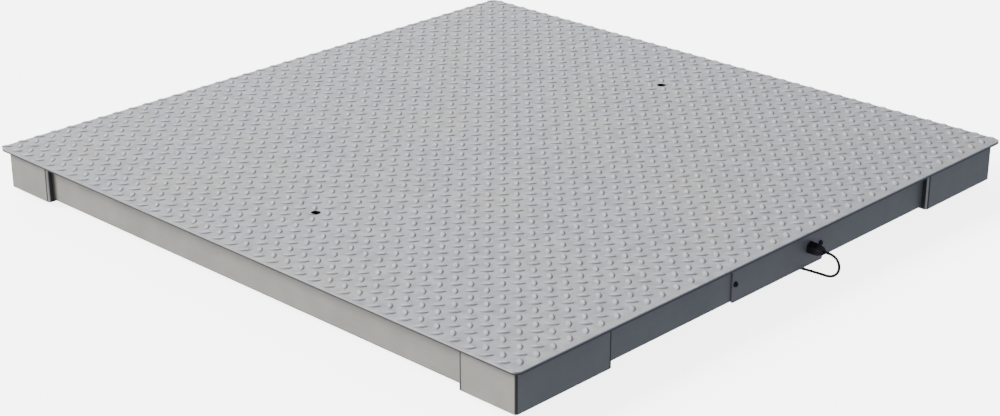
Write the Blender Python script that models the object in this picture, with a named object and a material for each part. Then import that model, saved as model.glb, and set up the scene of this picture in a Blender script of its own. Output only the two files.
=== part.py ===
"""Animal weighing scale: a low square floor platform for weighing large animals.

A plate deck overhangs a frame of four folded channels and four corner blocks. Each block
holds a shear-beam load cell with a screw-in levelling foot. The four load cell leads run
inside the frame to a junction box behind an access cover, and one cable leaves the cover
through a gland.

Metres, +Z up. The origin is on the floor under the middle of the deck. +X runs along the
cable side, which faces -Y and is called the front.
"""

import math

import bmesh
import bpy
from mathutils import Vector

# Driving sizes of the platform
DECK_LENGTH = 1.500  # along X
DECK_WIDTH = 1.500  # along Y
DECK_THICKNESS = 0.006
DECK_CORNER_RADIUS = 0.015
FLOOR_CLEARANCE = 0.0117  # under the frame, with the feet screwed right in
FRAME_HEIGHT = 0.082
BLOCK_SETBACK = 0.0135  # from the deck's edge in to a corner block's outer face
RAIL_SETBACK = 0.028  # from the deck's edge in to a rail's outer face

# Clearances
TOUCH = 0.0003  # between faces that touch, and all round a fastener in its hole
OVERRUN = 0.01  # how far a cutter reaches past the faces it cuts
THROUGH = 0.05  # length of a cutter that passes through a plate or a nut

# Corner blocks, open at the bottom
BLOCK_LENGTH = 0.2435  # along X
BLOCK_WIDTH = 0.1365  # along Y
BLOCK_WALL = 0.004
BLOCK_TOP_WALL = 0.006
BLOCK_BEND_RADIUS = 0.006

# Rails, folded channels that open inwards
RAIL_SHEET = 0.004
RAIL_FLANGE = 0.040
RAIL_BEND_RADIUS = 0.006

# Ribs, smaller channels under the deck, running front to back
RIB_END_GAP = 0.073  # from a block's inner end to the middle of the nearest rib
RIB_BOX_GAP = 0.025  # from the junction box's farther end to the middle of the nearest rib
RIB_SHEET = 0.003
RIB_HEIGHT = 0.045
RIB_FLANGE = 0.030
RIB_BEND_RADIUS = 0.005

# Lifting holes and the threaded bushes under them
LIFT_HOLE_DIAMETER = 0.020
LIFT_HOLE_SETBACK = 0.225  # from the deck's left and right edges
LIFT_BUSH_DIAMETER = 0.036
LIFT_BUSH_BORE = 0.0175
LIFT_BUSH_LENGTH = 0.020

# Load cells, along X, with the foot at the outer end
CELL_LENGTH = 0.130
CELL_WIDTH = 0.032
CELL_HEIGHT = 0.032
CELL_FOOT_END = 0.016  # from the cell's outer end in to the foot's axis
CELL_BOLT_END = 0.019  # from the cell's inner end to its first bolt
CELL_BOLT_PITCH = 0.0254
CELL_POCKET_END = 0.080  # from the cell's inner end to the gauge pockets
CELL_POCKET_DIAMETER = 0.020
CELL_POCKET_DEPTH = 0.009
CELL_BOSS_DIAMETER = 0.012
CELL_BOSS_LENGTH = 0.008
CELL_EDGE_BEVEL = 0.0012
SPACER_THICKNESS = 0.006
SPACER_LENGTH = 0.062

# M12 bolts that hold a cell and its spacer to the block
BOLT_DIAMETER = 0.012
BOLT_HEAD_FLATS = 0.019
BOLT_HEAD_HEIGHT = 0.0075
BOLT_TIP_INSET = 0.0006  # from the top of the block down to a bolt's tip
BOLT_TIP_CHAMFER = 0.0012

# Levelling feet, M12 stems with a ball end in a round pad
FOOT_SETBACK = 0.070  # along X, from the block's outer end face in to the foot's axis
STEM_DIAMETER = 0.012
STEM_PROUD = 0.003  # above the cell when the foot is screwed right in
STEM_COLLAR_FLATS = 0.017
STEM_COLLAR_HEIGHT = 0.006
STEM_NECK_DIAMETER = 0.010
BALL_DIAMETER = 0.016
BALL_HEIGHT = 0.0125  # centre of the ball above the floor
LOCK_NUT_FLATS = 0.019
LOCK_NUT_HEIGHT = 0.006
PAD_DIAMETER = 0.050
PAD_RIM_HEIGHT = 0.006
PAD_HUB_DIAMETER = 0.027
PAD_HEIGHT = 0.0185
PAD_EDGE = 0.001
PAD_SLOPE_RUN = 0.004  # from the hub out to where the pad starts to slope down
PAD_SLOPE_RISE = 0.0015
PAD_HUB_RISE = 0.005

# Access cover on the front rail, and its window
COVER_LENGTH = 0.287
COVER_THICKNESS = 0.003
COVER_CORNER_RADIUS = 0.004
COVER_SCREW_SPACING = 0.268
COVER_SCREW_HEIGHT = 0.0365  # above the bottom of the rail
COVER_SCREW_DIAMETER = 0.006
COVER_SCREW_HEAD_DIAMETER = 0.011
COVER_SCREW_HEAD_HEIGHT = 0.0033
COVER_SCREW_LENGTH = 0.012
COVER_SCREW_SOCKET_FLATS = 0.004
COVER_SCREW_SOCKET_DEPTH = 0.002
COVER_SCREW_CROWN = ((1, 0), (1, 0.3), (0.86, 0.72), (0.6, 1))  # shares of radius and height
WINDOW_LENGTH = 0.240
WINDOW_SILL = 0.006
WINDOW_LINTEL = 0.016

# Junction box in the front rail
BOX_LEFT = -0.115
BOX_RIGHT = 0.065
BOX_DEPTH = 0.0275
BOX_WALL = 0.0025
BOX_BEHIND_RAIL = 0.0035  # from the back of the rail's web to the box's open front
BOX_FOOT_LENGTH = 0.014
LID_THICKNESS = 0.0025
LID_CLEARANCE = 0.001  # round the lid, inside the window
BOARD_THICKNESS = 0.0016
BOARD_CLEARANCE = 0.012  # from the box's ends to the board, for the cable ends
BOARD_STANDOFF = 0.005
BOARD_END_GAP = 0.003  # from the box's floor and ceiling to the board
BOARD_BOSS_WIDTH = 0.006
BOARD_BOSS_TOP = 0.012  # above the board's bottom edge
TERMINAL_DEPTH = 0.010
TERMINAL_HEIGHT = 0.012
TERMINAL_LENGTH = 0.110
TERMINAL_RISE = 0.004  # above the board's bottom edge

# Cable gland on the access cover
GLAND_X = 0.100
GLAND_HEIGHT = 0.0375  # above the bottom of the rail
GLAND_THREAD_DIAMETER = 0.020
GLAND_THREAD_LENGTH = 0.012
GLAND_HEX_FLATS = 0.024
GLAND_HEX_LENGTH = 0.006
GLAND_SPIGOT_DIAMETER = 0.017
GLAND_SPIGOT_LENGTH = 0.010
DOME_FLATS = 0.0235
DOME_HEX_LENGTH = 0.011
DOME_LENGTH = 0.0264
DOME_END_DIAMETER = 0.013
DOME_LIP = 0.0015
DOME_LIP_LENGTH = 0.003
GLAND_NUT_FLATS = 0.024
GLAND_NUT_LENGTH = 0.005

# Cables
LEAD_DIAMETER = 0.005
LEAD_HOLE_DIAMETER = 0.015
LEAD_ENTRY_INSET = 0.012  # from the box's bottom and top to its lead entries
LEAD_END_INSIDE = 0.008
LEAD_ENTRY_CLEARANCE = 0.0014  # all round a lead in the box's end
LEAD_LIFT = 0.002  # slack under a lead where it lies in a rail
LEAD_HOLE_INSET = 0.032  # from a rail's outer face in to the lead hole in the block's end
LEAD_HOLE_RISE = 0.026  # above the rail's floor
LEAD_RUN_INSET = 0.022  # from a rail's outer face in to the lead that lies in it
LEAD_CLIMB_RUN = 2.5  # length along X of a back lead's climb to the rib, for each metre of rise
CABLE_DIAMETER = 0.0055
CABLE_ENTRY_BACK = 0.0035  # from the box's back to the cable entry's nearest wall
POINT_TURN = math.radians(14)
POINT_RUN = 0.055

# Coil of spare cable on the floor, and the connector at its end
COIL_X = 0.030
COIL_Y = -0.520
COIL_MIDDLE_RADIUS = 0.031
COIL_TURNS_WIDE = 4
COIL_LAYERS = 6
CONNECTOR_DIAMETER = 0.0166
CONNECTOR_LENGTH = 0.052
CONNECTOR_TAIL_DIAMETER = 0.009
CONNECTOR_TAIL_LENGTH = 0.016
CONNECTOR_TAIL_TAPER = 0.001
CONNECTOR_WAIST = 0.0015  # from the coupling ring's face in to the body
CONNECTOR_WAIST_LENGTH = 0.010
CONNECTOR_SHOULDER = 0.001
CONNECTOR_RING_END = 0.004  # from the coupling ring's front edge to the connector's mouth
CONNECTOR_MOUTH_WALL = 0.0015
CONNECTOR_MOUTH_DEPTH = 0.010

CORNERS = {
    "front_left": (-1, -1),
    "front_right": (1, -1),
    "back_left": (-1, 1),
    "back_right": (1, 1),
}

# Heights worked out from the driving sizes
FRAME_BOTTOM = FLOOR_CLEARANCE
FRAME_TOP = FRAME_BOTTOM + FRAME_HEIGHT
DECK_UNDERSIDE = FRAME_TOP + TOUCH
DECK_TOP = DECK_UNDERSIDE + DECK_THICKNESS
CELL_TOP = FRAME_TOP - BLOCK_TOP_WALL - TOUCH - SPACER_THICKNESS - TOUCH
CELL_BOTTOM = CELL_TOP - CELL_HEIGHT
LOCK_NUT_BOTTOM = CELL_BOTTOM - TOUCH - LOCK_NUT_HEIGHT
COLLAR_TOP = LOCK_NUT_BOTTOM - TOUCH
COLLAR_BOTTOM = COLLAR_TOP - STEM_COLLAR_HEIGHT
CHANNEL_FLOOR = FRAME_BOTTOM + RAIL_SHEET
RIB_BOTTOM = FRAME_TOP - RIB_HEIGHT

# Places worked out from the driving sizes
BLOCK_FACE_X = DECK_LENGTH / 2 - BLOCK_SETBACK
BLOCK_FACE_Y = DECK_WIDTH / 2 - BLOCK_SETBACK
BLOCK_END_X = BLOCK_FACE_X - BLOCK_LENGTH
BLOCK_END_Y = BLOCK_FACE_Y - BLOCK_WIDTH
OUTER_RIB_X = BLOCK_END_X - RIB_END_GAP
INNER_RIB_X = max(-BOX_LEFT, BOX_RIGHT) + RIB_BOX_GAP
RIB_POSITIONS = (-OUTER_RIB_X, -INNER_RIB_X, INNER_RIB_X, OUTER_RIB_X)
FOOT_X = BLOCK_FACE_X - FOOT_SETBACK
FOOT_Y = BLOCK_FACE_Y - BLOCK_WIDTH / 2
CELL_INNER_X = FOOT_X + CELL_FOOT_END - CELL_LENGTH
RAIL_FACE_X = DECK_LENGTH / 2 - RAIL_SETBACK
RAIL_FACE_Y = DECK_WIDTH / 2 - RAIL_SETBACK
COVER_FACE_Y = -(RAIL_FACE_Y + TOUCH + COVER_THICKNESS)
GLAND_Z = FRAME_BOTTOM + GLAND_HEIGHT
BOX_BOTTOM = FRAME_BOTTOM + WINDOW_SILL + LID_CLEARANCE
BOX_TOP = FRAME_TOP - WINDOW_LINTEL - LID_CLEARANCE
BOX_FRONT_Y = -(RAIL_FACE_Y - RAIL_SHEET - BOX_BEHIND_RAIL)
BOX_BACK_Y = BOX_FRONT_Y + BOX_DEPTH
LEAD_ENTRY_Y = BOX_FRONT_Y + BOX_DEPTH / 2
CABLE_ENTRY_Y = BOX_BACK_Y - CABLE_ENTRY_BACK - CABLE_DIAMETER / 2

# Directions for round pieces
UP = Vector((0, 0, 1))
FORWARD = Vector((0, -1, 0))
ALONG_X = Vector((1, 0, 0))
ALONG_Y = Vector((0, 1, 0))


# Materials


def material(name, colour, roughness, metallic=0.0):
    """The material of that name, made on first use."""
    found = bpy.data.materials.get(name)
    if found:
        return found
    made = bpy.data.materials.new(name)
    made.use_nodes = True
    shader = made.node_tree.nodes["Principled BSDF"]
    shader.inputs["Base Color"].default_value = (*colour, 1)
    shader.inputs["Roughness"].default_value = roughness
    shader.inputs["Metallic"].default_value = metallic
    made.diffuse_color = (*colour, 1)
    return made


def deck_steel():
    return material("deck_steel", (0.45, 0.45, 0.46), 0.42, 1.0)


def frame_steel():
    return material("frame_steel", (0.40, 0.40, 0.39), 0.50, 1.0)


def block_steel():
    return material("block_steel", (0.42, 0.42, 0.41), 0.48, 1.0)


def cover_steel():
    return material("cover_steel", (0.38, 0.38, 0.38), 0.45, 1.0)


def cell_steel():
    return material("cell_steel", (0.55, 0.56, 0.57), 0.30, 1.0)


def zinc_steel():
    return material("zinc_steel", (0.52, 0.53, 0.55), 0.35, 1.0)


def pad_steel():
    return material("pad_steel", (0.50, 0.50, 0.50), 0.40, 1.0)


def box_plastic():
    return material("box_plastic", (0.36, 0.38, 0.40), 0.50)


def board_laminate():
    return material("board_laminate", (0.02, 0.16, 0.07), 0.45)


def gland_plastic():
    return material("gland_plastic", (0.012, 0.012, 0.013), 0.45)


def cable_rubber():
    return material("cable_rubber", (0.010, 0.010, 0.011), 0.60)


def lead_rubber():
    return material("lead_rubber", (0.10, 0.10, 0.11), 0.60)


def connector_metal():
    return material("connector_metal", (0.50, 0.48, 0.44), 0.28, 1.0)


# Shape helpers


def solid(name, bm, look, place=(0, 0, 0), turn=None):
    """An object made from a bmesh, its faces outwards and its round faces smooth."""
    bmesh.ops.recalc_face_normals(bm, faces=bm.faces)
    mesh = bpy.data.meshes.new(name)
    bm.to_mesh(mesh)
    bm.free()
    mesh.shade_smooth()
    mesh.set_sharp_from_angle(angle=math.radians(32))
    made = bpy.data.objects.new(name, mesh)
    made.location = place
    if turn:
        made.rotation_euler = turn.to_matrix().to_euler()
    if look:
        mesh.materials.append(look)
    bpy.context.scene.collection.objects.link(made)
    return made


def as_tool(made):
    """Marks an object as a cutter or a filler, which is no piece of its own."""
    made.hide_render = True
    made.display_type = "WIRE"
    return made


def combine(target, tool, operation):
    """Cuts a tool's shape out of an object, or joins it on."""
    step = target.modifiers.new(tool.name, "BOOLEAN")
    step.operation = operation
    step.solver = "EXACT"
    step.object = as_tool(tool)


def cut(target, tool):
    combine(target, tool, "DIFFERENCE")


def join(target, tool):
    combine(target, tool, "UNION")


def block_bm(size, upright_radius=0.0, segments=3):
    """A box about its own centre, its upright edges rounded."""
    bm = bmesh.new()
    bmesh.ops.create_cube(bm, size=1)
    bmesh.ops.scale(bm, vec=size, verts=bm.verts)
    if upright_radius:
        upright = [e for e in bm.edges if abs(e.verts[0].co.z - e.verts[1].co.z) > size[2] / 2]
        bmesh.ops.bevel(
            bm, geom=upright, offset=upright_radius, segments=segments, profile=0.5, affect="EDGES"
        )
    return bm


def span_bm(low, high, upright_radius=0.0, segments=3):
    """A box between two corners, in world places."""
    low, high = Vector(low), Vector(high)
    bm = block_bm(high - low, upright_radius, segments)
    bmesh.ops.translate(bm, vec=(low + high) / 2, verts=bm.verts)
    return bm


def bevel_all(bm, width):
    bmesh.ops.bevel(bm, geom=bm.edges, offset=width, segments=1, affect="EDGES")
    return bm


def turned_bm(outline, sides):
    """A closed outline of (radius, height) points turned round Z."""
    bm = bmesh.new()
    ring = [bm.verts.new((radius, 0, height)) for radius, height in outline]
    pairs = zip(ring, ring[1:] + ring[:1])
    edges = [bm.edges.new(pair) for pair in pairs if pair[0].co.x + pair[1].co.x > 0]
    bmesh.ops.spin(
        bm,
        geom=ring + edges,
        cent=(0, 0, 0),
        axis=(0, 0, 1),
        angle=math.tau,
        steps=sides,
        use_merge=True,
    )
    bmesh.ops.remove_doubles(bm, verts=bm.verts, dist=1e-6)
    return bm


def rod_bm(diameter, low, high, sides):
    """A plain rod along Z between two heights."""
    radius = diameter / 2
    return turned_bm([(0, low), (radius, low), (radius, high), (0, high)], sides)


def hexagon_bm(across_flats, low, high):
    """A hexagonal prism along Z between two heights."""
    radius = across_flats / math.sqrt(3)
    bm = bmesh.new()
    bmesh.ops.create_cone(
        bm, cap_ends=True, segments=6, radius1=radius, radius2=radius, depth=high - low
    )
    bmesh.ops.translate(bm, vec=(0, 0, (low + high) / 2), verts=bm.verts)
    return bm


def facing(direction):
    """The turn that takes +Z to a direction."""
    return UP.rotation_difference(direction)


def hole(target, name, diameter, place, direction, depth, sides=20):
    """Cuts a round hole centred on a place, depth long in all."""
    cut(
        target,
        solid(
            f"{target.name}_{name}",
            rod_bm(diameter, -depth / 2, depth / 2, sides),
            None,
            place,
            facing(direction),
        ),
    )


def arc(centre, radius, start, end, steps=3):
    """Points along an arc, angles in degrees."""
    angles = [math.radians(start + (end - start) * i / steps) for i in range(steps + 1)]
    return [(centre[0] + radius * math.cos(a), centre[1] + radius * math.sin(a)) for a in angles]


def channel_bm(length, height, flange, sheet, bend):
    """A folded channel along X. Its web's outer face is at y = 0 and its flanges reach +Y."""
    inner = bend - sheet
    outline = [(flange, 0)]
    outline += arc((bend, bend), bend, 270, 180)
    outline += arc((bend, height - bend), bend, 180, 90)
    outline += [(flange, height), (flange, height - sheet)]
    outline += arc((bend, height - bend), inner, 90, 180, 2)
    outline += arc((bend, bend), inner, 180, 270, 2)
    outline += [(flange, sheet)]
    bm = bmesh.new()
    corners = [bm.verts.new((-length / 2, depth, rise)) for depth, rise in outline]
    end = bm.faces.new(corners)
    grown = bmesh.ops.extrude_face_region(bm, geom=[end])
    moved = [g for g in grown["geom"] if isinstance(g, bmesh.types.BMVert)]
    bmesh.ops.translate(bm, vec=(length, 0, 0), verts=moved)
    return bm


# Cables


def smooth_line(points, step=0.002):
    """Close points on a centripetal Catmull-Rom curve through a route."""
    route = [Vector(p) for p in points]
    route = [2 * route[0] - route[1]] + route + [2 * route[-1] - route[-2]]
    line = [route[1]]
    for a, b, c, d in zip(route, route[1:], route[2:], route[3:]):
        t1 = math.sqrt((b - a).length)
        t2 = t1 + math.sqrt((c - b).length)
        t3 = t2 + math.sqrt((d - c).length)
        count = max(2, math.ceil((c - b).length / step))
        for i in range(1, count + 1):
            t = t1 + (t2 - t1) * i / count
            ab = a.lerp(b, t / t1)
            bc = b.lerp(c, (t - t1) / (t2 - t1))
            cd = c.lerp(d, (t - t2) / (t3 - t2))
            first = ab.lerp(bc, t / t2)
            last = bc.lerp(cd, (t - t1) / (t3 - t1))
            line.append(first.lerp(last, (t - t1) / (t2 - t1)))
    return line


def thinned(line, turn, run):
    """The points of a line where it has turned, or run on, since the last one kept."""
    kept = [0]
    for i in range(1, len(line) - 1):
        heading = line[i + 1] - line[i]
        since = line[i] - line[kept[-1]]
        last = line[kept[-1] + 1] - line[kept[-1]]
        if heading.angle(last) > turn or since.length > run:
            kept.append(i)
    return [line[i] for i in kept] + [line[-1]]


def cable(name, points, diameter, look, resolution=2):
    """A round cable with capped ends through given points."""
    curve = bpy.data.curves.new(name, "CURVE")
    curve.dimensions = "3D"
    curve.bevel_depth = diameter / 2
    curve.bevel_resolution = resolution
    curve.use_fill_caps = True
    spline = curve.splines.new("POLY")
    spline.points.add(len(points) - 1)
    for place, point in zip(points, spline.points):
        point.co = (*place, 1)
    curve.materials.append(look)
    made = bpy.data.objects.new(name, curve)
    bpy.context.scene.collection.objects.link(made)
    return made


def held_lead(name, points):
    cable(name, thinned(smooth_line(points), POINT_TURN, POINT_RUN), LEAD_DIAMETER, lead_rubber())


# Platform


def make_deck():
    size = (DECK_LENGTH, DECK_WIDTH, DECK_THICKNESS)
    place = (0, 0, DECK_UNDERSIDE + DECK_THICKNESS / 2)
    deck = solid("deck_plate", block_bm(size, DECK_CORNER_RADIUS, 6), deck_steel(), place)
    for side, x in lift_places():
        hole(deck, f"hole_{side}", LIFT_HOLE_DIAMETER, (x, 0, DECK_TOP), UP, THROUGH, 24)


def lift_places():
    x = DECK_LENGTH / 2 - LIFT_HOLE_SETBACK
    return (("left", -x), ("right", x))


def make_lifting_bushes():
    bore, outer = LIFT_BUSH_BORE / 2, LIFT_BUSH_DIAMETER / 2
    top = DECK_UNDERSIDE - TOUCH
    for side, x in lift_places():
        outline = [(bore, -LIFT_BUSH_LENGTH), (outer, -LIFT_BUSH_LENGTH), (outer, 0), (bore, 0)]
        solid(f"lifting_bush_{side}", turned_bm(outline, 24), zinc_steel(), (x, 0, top))


def rail_profile():
    return FRAME_HEIGHT, RAIL_FLANGE, RAIL_SHEET, RAIL_BEND_RADIUS


def make_rails():
    across = 2 * (BLOCK_END_X - TOUCH)
    along = 2 * (BLOCK_END_Y - TOUCH)
    places = {
        "front_rail": (across, (0, -RAIL_FACE_Y, FRAME_BOTTOM), 0),
        "back_rail": (across, (0, RAIL_FACE_Y, FRAME_BOTTOM), 180),
        "left_rail": (along, (-RAIL_FACE_X, 0, FRAME_BOTTOM), 270),
        "right_rail": (along, (RAIL_FACE_X, 0, FRAME_BOTTOM), 90),
    }
    for name, (length, place, angle) in places.items():
        rail = solid(name, channel_bm(length, *rail_profile()), frame_steel(), place)
        rail.rotation_euler.z = math.radians(angle)
    open_window(bpy.data.objects["front_rail"])


def open_window(rail):
    """The window behind the access cover, and the threaded holes for its screws."""
    low = (-WINDOW_LENGTH / 2, -RAIL_FACE_Y - OVERRUN, FRAME_BOTTOM + WINDOW_SILL)
    high = (WINDOW_LENGTH / 2, -RAIL_FACE_Y + RAIL_SHEET + OVERRUN, FRAME_TOP - WINDOW_LINTEL)
    cut(rail, solid("front_rail_window", span_bm(low, high), None))
    diameter = COVER_SCREW_DIAMETER + 2 * TOUCH
    for side, x in screw_places():
        hole(rail, f"screw_{side}", diameter, (x, -RAIL_FACE_Y, screw_z()), FORWARD, 2 * OVERRUN, 16)


def make_blocks():
    height = FRAME_HEIGHT
    for corner, (sx, sy) in CORNERS.items():
        x = sx * (BLOCK_FACE_X - BLOCK_LENGTH / 2)
        y = sy * FOOT_Y
        size = (BLOCK_LENGTH, BLOCK_WIDTH, height)
        bm = block_bm(size, BLOCK_BEND_RADIUS)
        block = solid(f"corner_block_{corner}", bm, block_steel(), (x, y, FRAME_BOTTOM + height / 2))
        inside = (BLOCK_LENGTH - 2 * BLOCK_WALL, BLOCK_WIDTH - 2 * BLOCK_WALL, 2 * height)
        ceiling = FRAME_TOP - BLOCK_TOP_WALL
        hollow = block_bm(inside, BLOCK_BEND_RADIUS - BLOCK_WALL, 2)
        cut(block, solid(f"{block.name}_hollow", hollow, None, (x, y, ceiling - height)))
        place = (sx * (BLOCK_END_X + BLOCK_WALL / 2), sy * lead_hole_y(), lead_hole_z())
        hole(block, "lead", LEAD_HOLE_DIAMETER, place, ALONG_X, 3 * BLOCK_WALL, 16)
        for end, bolt_x in bolt_places():
            top = (sx * bolt_x, y, FRAME_TOP)
            hole(block, end, BOLT_DIAMETER + 2 * TOUCH, top, UP, 3 * BLOCK_TOP_WALL, 16)


def make_ribs():
    length = 2 * (RAIL_FACE_Y - RAIL_FLANGE - TOUCH)
    for number, x in enumerate(RIB_POSITIONS, 1):
        away = math.copysign(1, x)
        bm = channel_bm(length, RIB_HEIGHT, RIB_FLANGE, RIB_SHEET, RIB_BEND_RADIUS)
        place = (x + away * RIB_FLANGE / 2, 0, RIB_BOTTOM)
        rib = solid(f"deck_rib_{number}", bm, frame_steel(), place)
        rib.rotation_euler.z = away * math.pi / 2


# Load cells and feet


def bolt_places():
    """How far from the middle of the platform a cell's two bolts are, along X."""
    inner = CELL_INNER_X + CELL_BOLT_END
    return (("inner", inner), ("outer", inner + CELL_BOLT_PITCH))


def make_load_cells():
    for corner, (sx, sy) in CORNERS.items():
        x = sx * (CELL_INNER_X + CELL_LENGTH / 2)
        y = sy * FOOT_Y
        bm = bevel_all(block_bm((CELL_LENGTH, CELL_WIDTH, CELL_HEIGHT)), CELL_EDGE_BEVEL)
        middle = CELL_BOTTOM + CELL_HEIGHT / 2
        cell = solid(f"load_cell_{corner}", bm, cell_steel(), (x, y, middle))
        boss_x = sx * (CELL_INNER_X - CELL_BOSS_LENGTH)
        boss = rod_bm(CELL_BOSS_DIAMETER, 0, CELL_BOSS_LENGTH + CELL_EDGE_BEVEL, 16)
        turn = facing(sx * ALONG_X)
        join(cell, solid(f"{cell.name}_boss", boss, None, (boss_x, y, middle), turn))
        for end, bolt_x in bolt_places():
            place = (sx * bolt_x, y, middle)
            hole(cell, end, BOLT_DIAMETER + 2 * TOUCH, place, UP, 2 * CELL_HEIGHT, 16)
        place = (sx * FOOT_X, y, middle)
        hole(cell, "foot", STEM_DIAMETER + 2 * TOUCH, place, UP, 2 * CELL_HEIGHT, 20)
        for side in (-1, 1):
            place = (sx * (CELL_INNER_X + CELL_POCKET_END), y + side * CELL_WIDTH / 2, middle)
            depth = 2 * CELL_POCKET_DEPTH
            hole(cell, f"pocket_{side}", CELL_POCKET_DIAMETER, place, ALONG_Y, depth, 20)


def make_spacers():
    bottom = CELL_TOP + TOUCH
    for corner, (sx, sy) in CORNERS.items():
        x = sx * (CELL_INNER_X + SPACER_LENGTH / 2)
        size = (SPACER_LENGTH, CELL_WIDTH, SPACER_THICKNESS)
        place = (x, sy * FOOT_Y, bottom + SPACER_THICKNESS / 2)
        spacer = solid(f"load_cell_spacer_{corner}", block_bm(size), zinc_steel(), place)
        for end, bolt_x in bolt_places():
            place = (sx * bolt_x, sy * FOOT_Y, bottom)
            hole(spacer, end, BOLT_DIAMETER + 2 * TOUCH, place, UP, 4 * SPACER_THICKNESS, 16)


def make_cell_bolts():
    head_top = CELL_BOTTOM - TOUCH
    tip = FRAME_TOP - BOLT_TIP_INSET
    radius = BOLT_DIAMETER / 2
    for corner, (sx, sy) in CORNERS.items():
        for end, bolt_x in bolt_places():
            bm = hexagon_bm(BOLT_HEAD_FLATS, -BOLT_HEAD_HEIGHT, 0)
            place = (sx * bolt_x, sy * FOOT_Y, head_top)
            bolt = solid(f"load_cell_bolt_{end}_{corner}", bm, zinc_steel(), place)
            outline = [
                (0, -BOLT_TIP_CHAMFER),
                (radius, -BOLT_TIP_CHAMFER),
                (radius, tip - head_top - BOLT_TIP_CHAMFER),
                (radius - BOLT_TIP_CHAMFER, tip - head_top),
                (0, tip - head_top),
            ]
            join(bolt, solid(f"{bolt.name}_shank", turned_bm(outline, 16), None, place))


def ball_arc(radius, start, end, steps):
    """Points of a ball's outline, angles in degrees from its middle height."""
    return [(r, z + BALL_HEIGHT) for r, z in arc((0, 0), radius, start, end, steps)]


def make_feet():
    ball = BALL_DIAMETER / 2
    socket = ball + TOUCH
    neck = STEM_NECK_DIAMETER / 2
    thread = STEM_DIAMETER / 2
    rim = PAD_DIAMETER / 2
    hub = PAD_HUB_DIAMETER / 2
    tip = CELL_TOP + STEM_PROUD
    mouth = math.degrees(math.asin((PAD_HEIGHT - BALL_HEIGHT) / socket))
    shoulder = math.degrees(math.acos(neck / ball))
    pad_outline = [
        (0, 0),
        (rim - PAD_EDGE, 0),
        (rim, PAD_EDGE),
        (rim, PAD_RIM_HEIGHT - PAD_EDGE),
        (rim - PAD_EDGE, PAD_RIM_HEIGHT),
        (hub + PAD_SLOPE_RUN, PAD_RIM_HEIGHT + PAD_SLOPE_RISE),
        (hub, PAD_RIM_HEIGHT + PAD_HUB_RISE),
        (hub - PAD_EDGE, PAD_HEIGHT),
        *ball_arc(socket, mouth, -90, 7),
    ]
    stem_outline = [
        *ball_arc(ball, -90, shoulder, 7),
        (neck, COLLAR_BOTTOM + PAD_EDGE),
        (thread, COLLAR_BOTTOM + PAD_EDGE),
        (thread, tip - PAD_EDGE),
        (thread - PAD_EDGE, tip),
        (0, tip),
    ]
    for corner, (sx, sy) in CORNERS.items():
        place = (sx * FOOT_X, sy * FOOT_Y, 0)
        solid(f"foot_pad_{corner}", turned_bm(pad_outline, 28), pad_steel(), place)
        stem = solid(f"foot_stem_{corner}", turned_bm(stem_outline, 16), zinc_steel(), place)
        collar = hexagon_bm(STEM_COLLAR_FLATS, COLLAR_BOTTOM, COLLAR_TOP)
        join(stem, solid(f"{stem.name}_collar", collar, None, place))
        nut_bm = hexagon_bm(LOCK_NUT_FLATS, LOCK_NUT_BOTTOM, CELL_BOTTOM - TOUCH)
        nut = solid(f"foot_lock_nut_{corner}", nut_bm, zinc_steel(), place)
        middle = (place[0], place[1], LOCK_NUT_BOTTOM)
        hole(nut, "thread", STEM_DIAMETER + 2 * TOUCH, middle, UP, 4 * LOCK_NUT_HEIGHT, 20)


# Access cover, junction box and gland


def screw_places():
    return (("left", -COVER_SCREW_SPACING / 2), ("right", COVER_SCREW_SPACING / 2))


def screw_z():
    return FRAME_BOTTOM + COVER_SCREW_HEIGHT


def make_cover():
    size = (COVER_LENGTH, FRAME_HEIGHT, COVER_THICKNESS)
    middle = (0, COVER_FACE_Y + COVER_THICKNESS / 2, FRAME_BOTTOM + FRAME_HEIGHT / 2)
    bm = block_bm(size, COVER_CORNER_RADIUS)
    cover = solid("access_cover", bm, cover_steel(), middle, facing(FORWARD))
    gland = (GLAND_X, COVER_FACE_Y, GLAND_Z)
    depth = 4 * COVER_THICKNESS
    hole(cover, "gland", GLAND_THREAD_DIAMETER + 2 * TOUCH, gland, FORWARD, depth, 24)
    for side, x in screw_places():
        place = (x, COVER_FACE_Y, screw_z())
        diameter = COVER_SCREW_DIAMETER + 2 * TOUCH
        hole(cover, f"screw_{side}", diameter, place, FORWARD, depth, 16)


def make_cover_screws():
    shank = COVER_SCREW_DIAMETER / 2
    head = COVER_SCREW_HEAD_DIAMETER / 2
    top = COVER_SCREW_HEAD_HEIGHT
    outline = [
        (0, -COVER_SCREW_LENGTH),
        (shank, -COVER_SCREW_LENGTH),
        (shank, 0),
        *[(out * head, up * top) for out, up in COVER_SCREW_CROWN],
        (0, top),
    ]
    for side, x in screw_places():
        place = (x, COVER_FACE_Y - TOUCH, screw_z())
        bm = turned_bm(outline, 16)
        screw = solid(f"cover_screw_{side}", bm, zinc_steel(), place, facing(FORWARD))
        socket = hexagon_bm(COVER_SCREW_SOCKET_FLATS, top - COVER_SCREW_SOCKET_DEPTH, 2 * top)
        cut(screw, solid(f"{screw.name}_socket", socket, None, place, facing(FORWARD)))


def lead_entries():
    """The heights of the two lead entries in each end of the junction box."""
    return BOX_BOTTOM + LEAD_ENTRY_INSET, BOX_TOP - LEAD_ENTRY_INSET


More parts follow.
